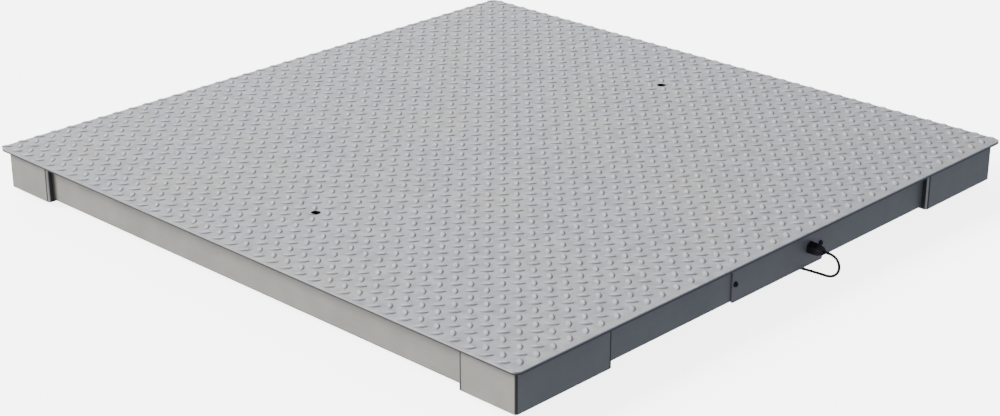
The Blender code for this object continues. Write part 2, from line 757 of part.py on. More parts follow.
def make_junction_box():
    low = (BOX_LEFT, BOX_FRONT_Y, BOX_BOTTOM)
    high = (BOX_RIGHT, BOX_BACK_Y, BOX_TOP)
    box = solid("junction_box", span_bm(low, high), box_plastic())
    inner_low = Vector(low) + Vector((BOX_WALL, -OVERRUN, BOX_WALL))
    inner_high = Vector(high) - Vector((BOX_WALL, BOX_WALL, BOX_WALL))
    cut(box, solid("junction_box_hollow", span_bm(inner_low, inner_high), None))
    half = BOARD_BOSS_WIDTH / 2
    for x in (BOX_LEFT + BOX_FOOT_LENGTH, BOX_RIGHT - BOX_FOOT_LENGTH):
        foot_low = (x - BOX_FOOT_LENGTH / 2, BOX_FRONT_Y + BOX_WALL, CHANNEL_FLOOR + TOUCH)
        foot_high = (x + BOX_FOOT_LENGTH / 2, BOX_BACK_Y - BOX_WALL, BOX_BOTTOM + BOX_WALL / 2)
        join(box, solid(f"junction_box_foot_{x:.3f}", span_bm(foot_low, foot_high), None))
        boss_low = (x - half, BOX_BACK_Y - BOX_WALL - BOARD_STANDOFF, board_bottom() + half)
        boss_high = (x + half, BOX_BACK_Y - BOX_WALL / 2, board_bottom() + BOARD_BOSS_TOP)
        join(box, solid(f"junction_box_boss_{x:.3f}", span_bm(boss_low, boss_high), None))
    for end in (BOX_LEFT, BOX_RIGHT):
        for z in lead_entries():
            place = (end, LEAD_ENTRY_Y, z)
            diameter = LEAD_DIAMETER + 2 * LEAD_ENTRY_CLEARANCE
            hole(box, f"lead_{end:.3f}_{z:.3f}", diameter, place, ALONG_X, 4 * BOX_WALL, 12)
    place = (BOX_RIGHT, CABLE_ENTRY_Y, GLAND_Z)
    diameter = CABLE_DIAMETER + 2 * LEAD_ENTRY_CLEARANCE
    hole(box, "cable", diameter, place, ALONG_X, 4 * BOX_WALL, 12)


def make_junction_lid():
    low = (BOX_LEFT, BOX_FRONT_Y - TOUCH - LID_THICKNESS, BOX_BOTTOM)
    high = (BOX_RIGHT, BOX_FRONT_Y - TOUCH, BOX_TOP)
    solid("junction_box_lid", span_bm(low, high), box_plastic())


def board_bottom():
    return BOX_BOTTOM + BOX_WALL + BOARD_END_GAP


def make_board():
    back = BOX_BACK_Y - BOX_WALL - BOARD_STANDOFF - TOUCH
    front = back - BOARD_THICKNESS
    left, right = BOX_LEFT + BOARD_CLEARANCE, BOX_RIGHT - BOARD_CLEARANCE
    top = BOX_TOP - BOX_WALL - BOARD_END_GAP
    bm = span_bm((left, front, board_bottom()), (right, back, top))
    board = solid("junction_circuit_board", bm, board_laminate())
    middle = (left + right) / 2
    low = (middle - TERMINAL_LENGTH / 2, front - TERMINAL_DEPTH, board_bottom() + TERMINAL_RISE)
    high = (middle + TERMINAL_LENGTH / 2, front + BOARD_THICKNESS / 2, low[2] + TERMINAL_HEIGHT)
    join(board, solid("junction_terminals", span_bm(low, high), None))


def make_gland():
    bore = CABLE_DIAMETER / 2 + TOUCH
    thread = GLAND_THREAD_DIAMETER / 2
    spigot = GLAND_SPIGOT_DIAMETER / 2
    seat = TOUCH + GLAND_HEX_LENGTH
    place = (GLAND_X, COVER_FACE_Y, GLAND_Z)
    turn = facing(FORWARD)
    body_outline = [
        (bore, -GLAND_THREAD_LENGTH),
        (thread, -GLAND_THREAD_LENGTH),
        (thread, TOUCH + GLAND_HEX_LENGTH / 2),
        (spigot, TOUCH + GLAND_HEX_LENGTH / 2),
        (spigot, seat + GLAND_SPIGOT_LENGTH),
        (bore, seat + GLAND_SPIGOT_LENGTH),
    ]
    body = solid("gland_body", turned_bm(body_outline, 20), gland_plastic(), place, turn)
    collar = hexagon_bm(GLAND_HEX_FLATS, TOUCH, seat)
    ring = solid("gland_body_hexagon", collar, None, place, turn)
    join(body, ring)
    through = rod_bm(2 * bore, -2 * GLAND_THREAD_LENGTH, 4 * GLAND_THREAD_LENGTH, 20)
    cut(body, solid("gland_body_bore", through, None, place, turn))

    start = seat + TOUCH
    end = start + DOME_LENGTH
    dome = DOME_FLATS / 2
    mouth = DOME_END_DIAMETER / 2
    inner = spigot + TOUCH
    depth = GLAND_SPIGOT_LENGTH + TOUCH
    dome_outline = [
        (inner, start),
        (dome, start),
        *arc((0, start + DOME_HEX_LENGTH), dome, 0, 30, 3),
        (mouth + DOME_LIP, end - DOME_LIP_LENGTH),
        (mouth, end),
        (bore, end),
        (bore, start + depth),
        (inner, start + depth),
    ]
    nut = solid("gland_dome_nut", turned_bm(dome_outline, 20), gland_plastic(), place, turn)
    hexagon = hexagon_bm(DOME_FLATS, start, start + DOME_HEX_LENGTH)
    join(nut, solid("gland_dome_nut_hexagon", hexagon, None, place, turn))
    hollow = rod_bm(2 * inner, start - OVERRUN, start + depth, 20)
    cut(nut, solid("gland_dome_nut_hollow", hollow, None, place, turn))

    back = -(COVER_THICKNESS + TOUCH)
    locknut_bm = hexagon_bm(GLAND_NUT_FLATS, back - GLAND_NUT_LENGTH, back)
    locknut = solid("gland_lock_nut", locknut_bm, gland_plastic(), place, turn)
    hole(locknut, "thread", 2 * (thread + TOUCH), place, FORWARD, THROUGH, 24)


def gland_end_y():
    return COVER_FACE_Y - TOUCH - GLAND_HEX_LENGTH - TOUCH - DOME_LENGTH


# Leads and the cable


def lead_hole_y():
    return RAIL_FACE_Y - LEAD_HOLE_INSET


def lead_hole_z():
    return CHANNEL_FLOOR + LEAD_HOLE_RISE


def lead_run_y():
    """How far out the leads lie in the front and back rails."""
    return RAIL_FACE_Y - LEAD_RUN_INSET


def lead_run_z():
    return CHANNEL_FLOOR + LEAD_DIAMETER / 2 + LEAD_LIFT


def cell_to_rail(sy):
    """A lead's route out of its cell, through the block's end wall and down into the rail."""
    middle = CELL_BOTTOM + CELL_HEIGHT / 2
    start = CELL_INNER_X - CELL_BOSS_LENGTH - TOUCH
    wall = BLOCK_END_X + BLOCK_WALL / 2
    hole_y, hole_z = lead_hole_y(), lead_hole_z()
    run = start - wall
    return [
        (start, sy * FOOT_Y, middle),
        (start - 0.22 * run, sy * (FOOT_Y + 0.001), middle - 0.001),
        (start - 0.52 * run, sy * (FOOT_Y + hole_y) / 2, (middle + hole_z) / 2),
        (start - 0.82 * run, sy * (hole_y - 0.0015), hole_z + 0.001),
        (wall, sy * hole_y, hole_z),
        (wall - 0.035, sy * (hole_y + 0.003), hole_z - 0.008),
        (wall - 0.080, sy * (lead_run_y() - 0.001), lead_run_z() + 0.003),
        (wall - 0.110, sy * lead_run_y(), lead_run_z()),
    ]


def box_end(sx):
    return BOX_RIGHT if sx > 0 else -BOX_LEFT


def make_front_leads():
    low_entry = lead_entries()[0]
    for corner in ("front_left", "front_right"):
        sx = CORNERS[corner][0]
        end = box_end(sx)
        route = cell_to_rail(-1) + [
            (end + 0.100, -lead_run_y(), lead_run_z()),
            (end + 0.065, -lead_run_y(), lead_run_z() + 0.001),
            (end + 0.032, LEAD_ENTRY_Y, low_entry - 0.002),
            (end + 0.012, LEAD_ENTRY_Y, low_entry),
            (end - LEAD_END_INSIDE, LEAD_ENTRY_Y, low_entry),
        ]
        held_lead(f"load_cell_lead_{corner}", [(sx * x, y, z) for x, y, z in route])


def make_back_leads():
    """The back leads turn out of the back rail, run along a rib and turn to the box."""
    high_entry = lead_entries()[1]
    in_rib = RIB_BOTTOM + RIB_SHEET + LEAD_DIAMETER / 2 + LEAD_LIFT
    climb = LEAD_CLIMB_RUN * (in_rib - lead_run_z())
    rib_x = INNER_RIB_X
    mouth = RAIL_FACE_Y - RAIL_FLANGE
    for corner in ("back_left", "back_right"):
        sx = CORNERS[corner][0]
        end = box_end(sx)
        route = cell_to_rail(1) + [
            (rib_x + 0.040 + climb, lead_run_y(), lead_run_z() + 0.004),
            (rib_x + 0.080, mouth + 0.022, in_rib - 0.010),
            (rib_x + 0.040, mouth + 0.0225, in_rib),
            (rib_x + 0.020, mouth + 0.021, in_rib + 0.002),
            (rib_x + 0.0055, mouth + 0.013, in_rib + 0.003),
            (rib_x, mouth - 0.006, in_rib + 0.002),
            (rib_x, mouth - 0.060, in_rib),
            (rib_x, mouth - 0.120, in_rib),
            (rib_x - 0.001, 0, in_rib),
            (rib_x, 0.120 - mouth, in_rib),
            (rib_x, 0.060 - mouth, in_rib),
            (rib_x, 0.004 - mouth, in_rib + 0.001),
            (rib_x - 0.0065, -mouth - 0.0135, in_rib + 0.005),
            (rib_x - 0.0195, LEAD_ENTRY_Y - 0.0005, high_entry - 0.001),
            (end - LEAD_END_INSIDE, LEAD_ENTRY_Y, high_entry),
        ]
        held_lead(f"load_cell_lead_{corner}", [(sx * x, y, z) for x, y, z in route])


def make_cable_tail():
    """The cable's last stretch, from the gland's inner end into the junction box."""
    start = COVER_FACE_Y + GLAND_THREAD_LENGTH + TOUCH
    turn = CABLE_ENTRY_Y - start
    route = [
        (GLAND_X, start, GLAND_Z),
        (GLAND_X - 0.14 * turn, start + 0.50 * turn, GLAND_Z),
        (GLAND_X - 0.50 * turn, start + 0.86 * turn, GLAND_Z),
        (GLAND_X - 1.00 * turn, CABLE_ENTRY_Y, GLAND_Z),
        (BOX_RIGHT - LEAD_END_INSIDE, CABLE_ENTRY_Y, GLAND_Z),
    ]
    points = thinned(smooth_line(route), POINT_TURN, POINT_RUN)
    cable("output_cable_tail", points, CABLE_DIAMETER, cable_rubber())


def make_output_cable():
    """The free cable out of the gland, down to the floor and back under the frame."""
    rest = CABLE_DIAMETER / 2 + TOUCH
    exit_y = gland_end_y() - TOUCH
    route = [
        (GLAND_X, exit_y, GLAND_Z),
        (0.1000, -0.7660, 0.0492),
        (0.1000, -0.7745, 0.0488),
        (0.0998, -0.7858, 0.0446),
        (0.0995, -0.7935, 0.0352),
        (0.0992, -0.7950, 0.0240),
        (0.0988, -0.7900, 0.0130),
        (0.0984, -0.7805, 0.0057),
        (0.0980, -0.7690, rest),
        (0.0970, -0.7480, rest),
        (0.0935, -0.7150, rest),
        (0.0875, -0.6750, rest),
        (0.0800, -0.6320, rest),
        (0.0730, -0.5900, rest),
        (0.0697, -0.5600, rest),
        (0.0692, -0.5417, rest),
    ]
    line = [Vector((p.x, p.y, max(p.z, rest))) for p in smooth_line(route)]
    points = thinned(line, POINT_TURN / 2, 2.5 * CABLE_DIAMETER)
    cable("output_cable", points, CABLE_DIAMETER, cable_rubber())


def make_coil():
    """The outer shape of the coiled spare cable, lying on the floor."""
    half_width = COIL_TURNS_WIDE * CABLE_DIAMETER / 2
    inner, outer = COIL_MIDDLE_RADIUS - half_width, COIL_MIDDLE_RADIUS + half_width
    top = COIL_LAYERS * CABLE_DIAMETER
    round_off = CABLE_DIAMETER / 2
    outline = [
        (inner + round_off, 0),
        (outer - round_off, 0),
        (outer, round_off),
        (outer, top - round_off),
        (outer - round_off, top),
        (inner + round_off, top),
        (inner, top - round_off),
        (inner, round_off),
    ]
    place = (COIL_X, COIL_Y, TOUCH)
    solid("output_cable_coil", turned_bm(outline, 32), cable_rubber(), place)


def make_connector():
    """The round connector on the cable's end, beside the coil and level with its second layer."""
    outermost = COIL_MIDDLE_RADIUS + (COIL_TURNS_WIDE - 1) * CABLE_DIAMETER / 2
    clear = outermost + CABLE_DIAMETER / 2 + TOUCH
    near = outermost - CONNECTOR_TAIL_DIAMETER / 2
    start_y = COIL_Y - math.sqrt(clear**2 - near**2) - TOUCH
    place = (COIL_X - outermost, start_y, TOUCH + CONNECTOR_DIAMETER / 2)
    tail = CONNECTOR_TAIL_DIAMETER / 2
    shell = CONNECTOR_DIAMETER / 2
    waist = shell - CONNECTOR_WAIST
    mouth = shell - CONNECTOR_SHOULDER
    ring_start = CONNECTOR_TAIL_LENGTH + 3 * CONNECTOR_SHOULDER + CONNECTOR_WAIST_LENGTH
    ring_end = CONNECTOR_LENGTH - CONNECTOR_RING_END
    outline = [
        (0, 0),
        (tail - CONNECTOR_TAIL_TAPER, 0),
        (tail + CONNECTOR_TAIL_TAPER, CONNECTOR_TAIL_LENGTH),
        (waist, CONNECTOR_TAIL_LENGTH + 2 * CONNECTOR_SHOULDER),
        (waist, ring_start - CONNECTOR_SHOULDER),
        (shell, ring_start),
        (shell, ring_end),
        (mouth, ring_end + CONNECTOR_SHOULDER),
        (mouth, CONNECTOR_LENGTH),
        (mouth - CONNECTOR_MOUTH_WALL, CONNECTOR_LENGTH),
        (mouth - CONNECTOR_MOUTH_WALL, CONNECTOR_LENGTH - CONNECTOR_MOUTH_DEPTH),
        (0, CONNECTOR_LENGTH - CONNECTOR_MOUTH_DEPTH),
    ]
    bm = turned_bm(outline, 20)
    solid("output_connector", bm, connector_metal(), place, facing(FORWARD))


def main():
    for old in list(bpy.data.objects):
        bpy.data.objects.remove(old)
    make_deck()
    make_lifting_bushes()
    make_rails()
    make_blocks()
    make_ribs()
    make_load_cells()
    make_spacers()
    make_cell_bolts()
    make_feet()
    make_cover()
    make_cover_screws()
    make_junction_box()
    make_junction_lid()
    make_board()
    make_gland()
    make_front_leads()
    make_back_leads()
    make_cable_tail()
    make_output_cable()
    make_coil()
    make_connector()


main()
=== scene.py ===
"""Finishes a low floor weighing platform for animals, as a set of tools in the 3D view's sidebar.

Each tool makes one piece, or a group of like pieces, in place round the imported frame: the cable
and its coil, the tread plate with its raised lugs, the gland, the screws, the levelling feet,
the welds and the clips. The last ones lay the metal, plastic and rubber finishes.
Metres, +Z up, with the origin on the floor under the middle of the platform.
"""

import math
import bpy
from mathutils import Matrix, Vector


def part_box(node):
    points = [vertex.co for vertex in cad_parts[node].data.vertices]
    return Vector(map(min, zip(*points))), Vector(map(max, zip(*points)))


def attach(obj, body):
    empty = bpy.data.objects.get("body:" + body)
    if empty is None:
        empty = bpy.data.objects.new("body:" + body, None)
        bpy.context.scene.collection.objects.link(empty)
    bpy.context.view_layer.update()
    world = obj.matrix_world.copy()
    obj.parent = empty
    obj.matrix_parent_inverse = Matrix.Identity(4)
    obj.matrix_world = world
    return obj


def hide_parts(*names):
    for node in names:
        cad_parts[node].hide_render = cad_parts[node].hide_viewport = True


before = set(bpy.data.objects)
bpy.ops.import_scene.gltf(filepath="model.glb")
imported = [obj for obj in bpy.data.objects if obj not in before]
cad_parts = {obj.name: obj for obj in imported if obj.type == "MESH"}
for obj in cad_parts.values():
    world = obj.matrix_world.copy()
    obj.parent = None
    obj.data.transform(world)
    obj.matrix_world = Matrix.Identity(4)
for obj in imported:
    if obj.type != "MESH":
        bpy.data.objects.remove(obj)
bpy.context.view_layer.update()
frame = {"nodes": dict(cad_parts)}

import bmesh
import bpy
from bpy.props import (
    FloatProperty,
    FloatVectorProperty,
    IntProperty,
    PointerProperty,
)
from mathutils import Matrix, Vector

bl_info = {
    "name": "Animal weighing platform",
    "version": (1, 0, 0),
    "blender": (4, 5, 0),
    "location": "3D View > Sidebar > Platform",
    "description": "Makes the finished pieces of a low floor weighing platform",
    "category": "Object",
}

MM = 0.001
TOUCH = 0.0003
UP = Vector((0, 0, 1))
FORWARD = Vector((0, -1, 0))
ALONG_X = Vector((1, 0, 0))
ALONG_Y = Vector((0, 1, 0))
CORNERS = ("front_left", "front_right", "back_left", "back_right")


# Sizes and colours


def size(name, default, description):
    return FloatProperty(
        name=name, description=description, default=default, min=0.0, unit="LENGTH", precision=5
    )


def colour(name, default, description):
    return FloatVectorProperty(
        name=name, description=description, default=default, min=0.0, max=1.0, subtype="COLOR"
    )


class PlateSizes(bpy.types.PropertyGroup):
    """The tread plate and the lens-shaped lugs rolled on it"""

    lug_length: size("Lug length", 0.0305, "Length of a lug from point to point")
    lug_width: size("Lug width", 0.0132, "Width of a lug at its middle")
    lug_height: size("Lug height", 0.0021, "Height of a lug above the plate")
    pitch_x: size("Pitch along", 0.0408, "From one lug to the next like it, left to right")
    pitch_y: size("Pitch across", 0.0392, "From one lug to the next like it, front to back")
    first_x: size("First column", 0.0345, "From the left edge to the first column of lugs")
    first_y: size("First row", 0.0250, "From the front edge to the first row of lugs")
    edge_break: size("Edge break", 0.0014, "Width of the bevel along the plate's edges")


class CableSizes(bpy.types.PropertyGroup):
    """The output cable, its coil and its tie"""

    diameter: size("Diameter", 0.0055, "Outer diameter of the cable")
    coil_radius: size("Coil radius", 0.031, "From the coil's centre to the middle of its turns")
    turn_points: IntProperty(
        name="Points in a turn", description="Points along one turn of the coil", default=30, min=12
    )
    tie_width: size("Tie width", 0.0046, "Width of the strap that holds the coil")


class WeldSizes(bpy.types.PropertyGroup):
    """The weld beads that hold the frame together"""

    bead_radius: size("Bead radius", 0.0024, "Radius of a weld bead")
    ripple: size("Ripple", 0.0030, "From one ripple of a bead to the next")
    stitch: size("Stitch length", 0.040, "Length of a stitch weld under the plate")


class FinishColours(bpy.types.PropertyGroup):
    """The colours of the finishes"""

    deck: colour("Tread plate", (0.229, 0.228, 0.242), "Bare blasted steel on top")
    deck_warm: colour("Tread plate, warm patches", (0.247, 0.240, 0.219), "Where it has yellowed")
    frame: colour("Frame", (0.306, 0.297, 0.283), "Folded steel of the rails and blocks")
    cover: colour("Cover", (0.312, 0.293, 0.286), "The access cover")
    zinc: colour("Zinc", (0.52, 0.53, 0.55), "Plated fasteners")
    rubber: colour("Rubber", (0.010, 0.010, 0.011), "The cable's sheath")


class StageLook(bpy.types.PropertyGroup):
    """The floor and the lights"""

    floor: colour("Floor", (0.88, 0.88, 0.88), "Colour of the floor")
    key: FloatProperty(name="Key light", description="Strength of the light from the left", default=7.2)
    back: FloatProperty(name="Back light", description="Strength of the light from behind", default=2.5)
    side: FloatProperty(name="Side light", description="Strength of the low light", default=2.3)
    fill: FloatProperty(name="Fill light", description="Strength of the light all round", default=0.43)


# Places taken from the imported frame


def middle(node):
    """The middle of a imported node's box."""
    low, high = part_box(node)
    return (low + high) / 2


DECK_LOW, DECK_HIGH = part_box("deck_plate")
FRONT_LOW, FRONT_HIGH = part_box("front_rail")
LEFT_LOW, LEFT_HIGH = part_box("left_rail")
COVER_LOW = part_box("access_cover")[0]
NUT_LOW, NUT_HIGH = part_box("gland_dome_nut")
DECK_CORNER_RADIUS = 0.015
LIFT_HOLE_DIAMETER = 0.020
RAIL_SHEET = 0.004
LEAD_INSET = 0.022  # from a rail's outer face in to the middle of its lead
LEAD_RISE = 0.0045  # from a rail's floor to the middle of its lead
SHADE_INSET = 62 * MM  # from a rail's outer face in to the full painted shadow on the floor
SHADE_SOFT = 30 * MM
FLOOR_GLOW = 4.6
LUG_RUB = (0.9 * MM, 1.7 * MM)  # above the plate, where a lug starts and ends to shine
EDGE_PAINTED_HIGHLIGHT = (3.0 * MM, 2.2 * MM)  # below the plate's top, where the painted highlight on its sheared edge starts and becomes full
CORNER_WELD = 4.6 * MM  # width on each face of a block's outer corner
CORNER_WELD_SOFT = 0.7 * MM
SEAM_AND_PAINTED_SHADE_LINES = ((5.8 * MM, 2.0 * MM), (-0.2 * MM, 0.6 * MM))  # dark, from a block's inner end: painted shade on the bend, and the seam itself
SEAM_PAINTED_HIGHLIGHT = (2.0 * MM, 1.7 * MM)  # pale painted highlight on the bend, its middle and half width
FLOOR_RADIUS = 30.0
WORLD_TONE = (0.74, 0.83, 1.0)
CAMERA_PLACE = (-2.8875, -2.7659, 1.6129)
CAMERA_HEADING = (0.6660, 0.6398, -0.3835)
CAMERA_LENS = 72.7

# The output cable's tie and connector
TIE_THICKNESS = 0.9 * MM
TIE_HEAD_HALF_LENGTH = 3.4 * MM
TIE_HEAD_HALF_WIDTH = 3.6 * MM
CONNECTOR_STEPS = 48
CONNECTOR_WAIST = 0.0072
CONNECTOR_KEY_RADIUS = 0.0076
CONNECTOR_RING = (0.0051, 0.0206)  # where the knurling starts and ends, from the mouth
KNURL_DEPTH = 0.45 * MM
PIN_CIRCLE = 0.0031
PIN_OUTLINE = ((0.0, 0.002), (0.0005, 0.0023), (0.0006, 0.003), (0.0006, 0.0125), (0.0, 0.0125))

# The gland's dome nut
DOME_MOUTH = 0.0065
DOME_BORE = 0.00305
DOME_HEX_SHARE = 0.42  # of the nut's length

# The cover's screws and the feet's stems
SCREW_SHANK = 0.003
SCREW_CROWN_ANGLES = (0.0, 0.3, 0.6, 0.9, 1.2, 1.5)
SCREW_SOCKET_FLATS = 0.004
SCREW_SOCKET_DEPTH = 0.0018
COLLAR_HEIGHT = 0.006
BALL_RADIUS = 0.008
NECK_RADIUS = 0.005
STEM_RADIUS = 0.006
STEM_PITCH = 0.00175

# The welds and the lead clips
WELD_START, WELD_STOP = 0.003, 0.001  # from a rail's bottom and top
STITCH_DROP = 0.6 * MM
RIB_STITCHES = (-0.56, -0.28, 0.0, 0.28, 0.56)
RAIL_STITCHES = (-0.35, -0.21, 0.21, 0.35)
CLIP_PLACES = (-0.30, -0.22, 0.22, 0.30)
CLIP_HALF_WIDTH = 0.004
CLIP_INNER, CLIP_OUTER, CLIP_FOOT = 0.0030, 0.0042, 0.010  # out from the lead's middle

# The free cable's route, from the gland down to the floor and in under the platform
CABLE_REST = 0.00305
LINE_STEP = 0.003
CABLE_ROUTE = [
    (0.1000, -0.7586, 0.0492),
    (0.1000, -0.7660, 0.0492),
    (0.1000, -0.7745, 0.0488),
    (0.0998, -0.7858, 0.0446),
    (0.0995, -0.7935, 0.0352),
    (0.0992, -0.7950, 0.0240),
    (0.0988, -0.7900, 0.0130),
    (0.0984, -0.7805, 0.0057),
    (0.0980, -0.7690, CABLE_REST),
    (0.0970, -0.7480, CABLE_REST),
    (0.0935, -0.7150, CABLE_REST),
    (0.0875, -0.6750, CABLE_REST),
    (0.0800, -0.6320, CABLE_REST),
    (0.0730, -0.5900, CABLE_REST),
    (0.0697, -0.5600, CABLE_REST),
    (0.0692, -0.5417, CABLE_REST),
]
COIL_CENTRE = Vector((0.030, -0.520, 0))
COIL_COLUMNS = 4
COIL_LAYERS = 6
CONNECTOR_ENTRY = 0.006


# Meshes


def piece(name, bm, look, body="platform", sharp=35, stands_for=()):
    """A finished piece from a bmesh, riding on a body."""
    mesh = bpy.data.meshes.new(name)
    bm.to_mesh(mesh)
    bm.free()
    mesh.shade_smooth()
    mesh.set_sharp_from_angle(angle=math.radians(sharp))
    made = bpy.data.objects.new(name, mesh)
    bpy.context.scene.collection.objects.link(made)
    for finish in look if isinstance(look, (list, tuple)) else [look]:
        mesh.materials.append(finish)
    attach(made, body)
    if stands_for:
        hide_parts(*stands_for)
    return made


def outward(bm):
    bmesh.ops.remove_doubles(bm, verts=bm.verts, dist=1e-6)
    bmesh.ops.recalc_face_normals(bm, faces=bm.faces)
    return bm


def evaluated(bm, *steps):
    """The bmesh after modifiers, each given as its kind and its settings."""
    mesh = bpy.data.meshes.new("working")
    bm.to_mesh(mesh)
    bm.free()
    working = bpy.data.objects.new("working", mesh)
    bpy.context.scene.collection.objects.link(working)
    for kind, settings in steps:
        step = working.modifiers.new(kind.lower(), kind)
        for name, value in settings.items():
            setattr(step, name, value)
    depsgraph = bpy.context.evaluated_depsgraph_get()
    result = bmesh.new()
    result.from_mesh(working.evaluated_get(depsgraph).to_mesh())
    bpy.data.objects.remove(working)
    bpy.data.meshes.remove(mesh)
    return result


def carved(bm, tool, operation="DIFFERENCE"):
    """The bmesh with a tool's shape cut out of it, or joined on."""
    mesh = bpy.data.meshes.new("tool")
    tool.to_mesh(mesh)
    tool.free()
    cutter = bpy.data.objects.new("tool", mesh)
    bpy.context.scene.collection.objects.link(cutter)
    settings = {"operation": operation, "solver": "EXACT", "object": cutter}
    result = evaluated(bm, ("BOOLEAN", settings))
    bpy.data.objects.remove(cutter)
    bpy.data.meshes.remove(mesh)
    return result


def added(bm, other):
    """A bmesh with another's faces put into it."""
    mesh = bpy.data.meshes.new("added")
    other.to_mesh(mesh)
    other.free()
    bm.from_mesh(mesh)
    bpy.data.meshes.remove(mesh)
    return bm


def turned(outline, steps, closed=False):
    """An outline of (radius, height) points spun round Z."""
    bm = bmesh.new()
    points = [bm.verts.new((radius, 0, height)) for radius, height in outline]
    ends = points[1:] + points[:1] if closed else points[1:]
    edges = [bm.edges.new(pair) for pair in zip(points, ends)]
    bmesh.ops.spin(
        bm, geom=points + edges, cent=(0, 0, 0), axis=UP, angle=math.tau, steps=steps, use_merge=True
    )
    return outward(bm)


def prism(flats, low, high, chamfer=0.0):
    """A hexagonal prism along Z, its end edges chamfered."""
    bm = bmesh.new()
    radius = flats / math.sqrt(3)
    bmesh.ops.create_cone(
        bm, cap_ends=True, segments=6, radius1=radius, radius2=radius, depth=high - low
    )
    bmesh.ops.translate(bm, vec=(0, 0, (low + high) / 2), verts=bm.verts)
    if chamfer:
        level = [e for e in bm.edges if abs(e.verts[0].co.z - e.verts[1].co.z) < 1e-6]
        bevel(bm, level, chamfer, 2)
    return bm


def bevel(bm, edges, offset, segments):
    bmesh.ops.bevel(
        bm,
        geom=edges,
        offset=offset,
        segments=segments,
        affect="EDGES",
        profile=0.5,
        material=-1,
        clamp_overlap=True,
    )


def slab(low, high, rounding=0.0):
    """A block between two corners, all its edges rounded."""
    low, high = Vector(low), Vector(high)
    bm = bmesh.new()
    bmesh.ops.create_cube(bm, size=1)
    bmesh.ops.scale(bm, vec=high - low, verts=bm.verts)
    if rounding:
        bevel(bm, bm.edges[:], rounding, 2)
    bmesh.ops.translate(bm, vec=(low + high) / 2, verts=bm.verts)
    return bm


def placed(bm, place, direction=UP):
    """Turns a bmesh so that its Z points along a direction, and moves it."""
    turn = UP.rotation_difference(direction).to_matrix().to_4x4()
    bmesh.ops.transform(bm, matrix=Matrix.Translation(place) @ turn, verts=bm.verts)
    return bm


def arc(centre, radius, start, end, steps):
    """Points along an arc, angles in degrees."""
    angles = [math.radians(start + (end - start) * i / steps) for i in range(steps + 1)]
    return [(centre[0] + radius * math.cos(a), centre[1] + radius * math.sin(a)) for a in angles]


# Finishes


class Finish:
    """A material being made: its shader, and the layers that feed it."""

    def __init__(self, name, **sockets):
        self.material = bpy.data.materials.new(name)
        self.material.use_nodes = True
        self.tree = self.material.node_tree
        self.shader = self.tree.nodes["Principled BSDF"]
        for socket, value in sockets.items():
            self.shader.inputs[socket.replace("_", " ")].default_value = value
        self.place = self.node("ShaderNodeTexCoord").outputs["Object"]

    def node(self, kind, links=None, **settings):
        """A node with its settings, its inputs joined or set."""
        made = self.tree.nodes.new(kind)
        for name, value in settings.items():
            setattr(made, name, value)
        for name, value in (links or {}).items():
            socket = made.inputs[name]
            if isinstance(value, bpy.types.NodeSocket):
                self.tree.links.new(value, socket)
            else:
                socket.default_value = value
        return made

    def stretched(self, scale):
        """Object coordinates scaled along each axis, for grain that runs one way."""
        return self.node("ShaderNodeMapping", {"Vector": self.place, "Scale": scale}).outputs[0]

    def noise(self, scale, detail=4.0, roughness=0.55, place=None, distortion=0.0):
        links = {
            "Vector": place or self.place,
            "Scale": scale,
            "Detail": detail,
            "Roughness": roughness,
            "Distortion": distortion,
        }
        return self.node("ShaderNodeTexNoise", links).outputs["Fac"]

    def cells(self, scale):
        """Distance from the nearest of scattered points, from 0."""
        links = {"Vector": self.place, "Scale": scale}
        return self.node("ShaderNodeTexVoronoi", links).outputs["Distance"]

    def remap(self, value, low, high, first=0.0, last=1.0):
        links = {"Value": value, "From Min": low, "From Max": high, "To Min": first, "To Max": last}
        return self.node("ShaderNodeMapRange", links, clamp=True).outputs["Result"]

    def sum(self, first, second, operation="ADD"):
        return self.node("ShaderNodeMath", {0: first, 1: second}, operation=operation).outputs[0]

    def band(self, value, centre, half, soft=0.0004):
        """One between two limits either side of a centre, and nothing outside them."""
        rising = self.remap(value, centre - half - soft, centre - half)
        falling = self.remap(value, centre + half, centre + half + soft, 1.0, 0.0)
        return self.sum(rising, falling, "MULTIPLY")

    def axis(self, letter):
        made = self.node("ShaderNodeSeparateXYZ", {"Vector": self.place})
        return made.outputs[letter]

    def distance(self, letter):
        """How far a point lies from the platform's middle along one axis."""
        links = {0: self.axis(letter)}
        return self.node("ShaderNodeMath", links, operation="ABSOLUTE").outputs[0]

    def blend(self, factor, first, second):
        """One colour laid over another."""
        made = self.node("ShaderNodeMix", data_type="RGBA")
        for index, value in ((0, factor), (6, first), (7, second)):
            if isinstance(value, bpy.types.NodeSocket):
                self.tree.links.new(value, made.inputs[index])
            else:
                made.inputs[index].default_value = value if index == 0 else (*value[:3], 1)
        return made.outputs[2]

    def feed(self, socket, value):
        self.tree.links.new(value, self.shader.inputs[socket])

    def roughen(self, scale, low, high, detail=4.0, roughness=0.55):
        """Roughness that drifts between two values."""
        drift = self.noise(scale, detail, roughness)
        self.feed("Roughness", self.remap(drift, 0.3, 0.7, low, high))

    def relief(self, height, distance, strength=1.0, beneath=None):
        """Bump from a height, over any bump beneath it."""
        links = {"Height": height, "Distance": distance, "Strength": strength}
        if beneath:
            links["Normal"] = beneath
        normal = self.node("ShaderNodeBump", links).outputs["Normal"]
        self.feed("Normal", normal)
        return normal


def shade(tone, factor):
    return tuple(factor * channel for channel in tone[:3])


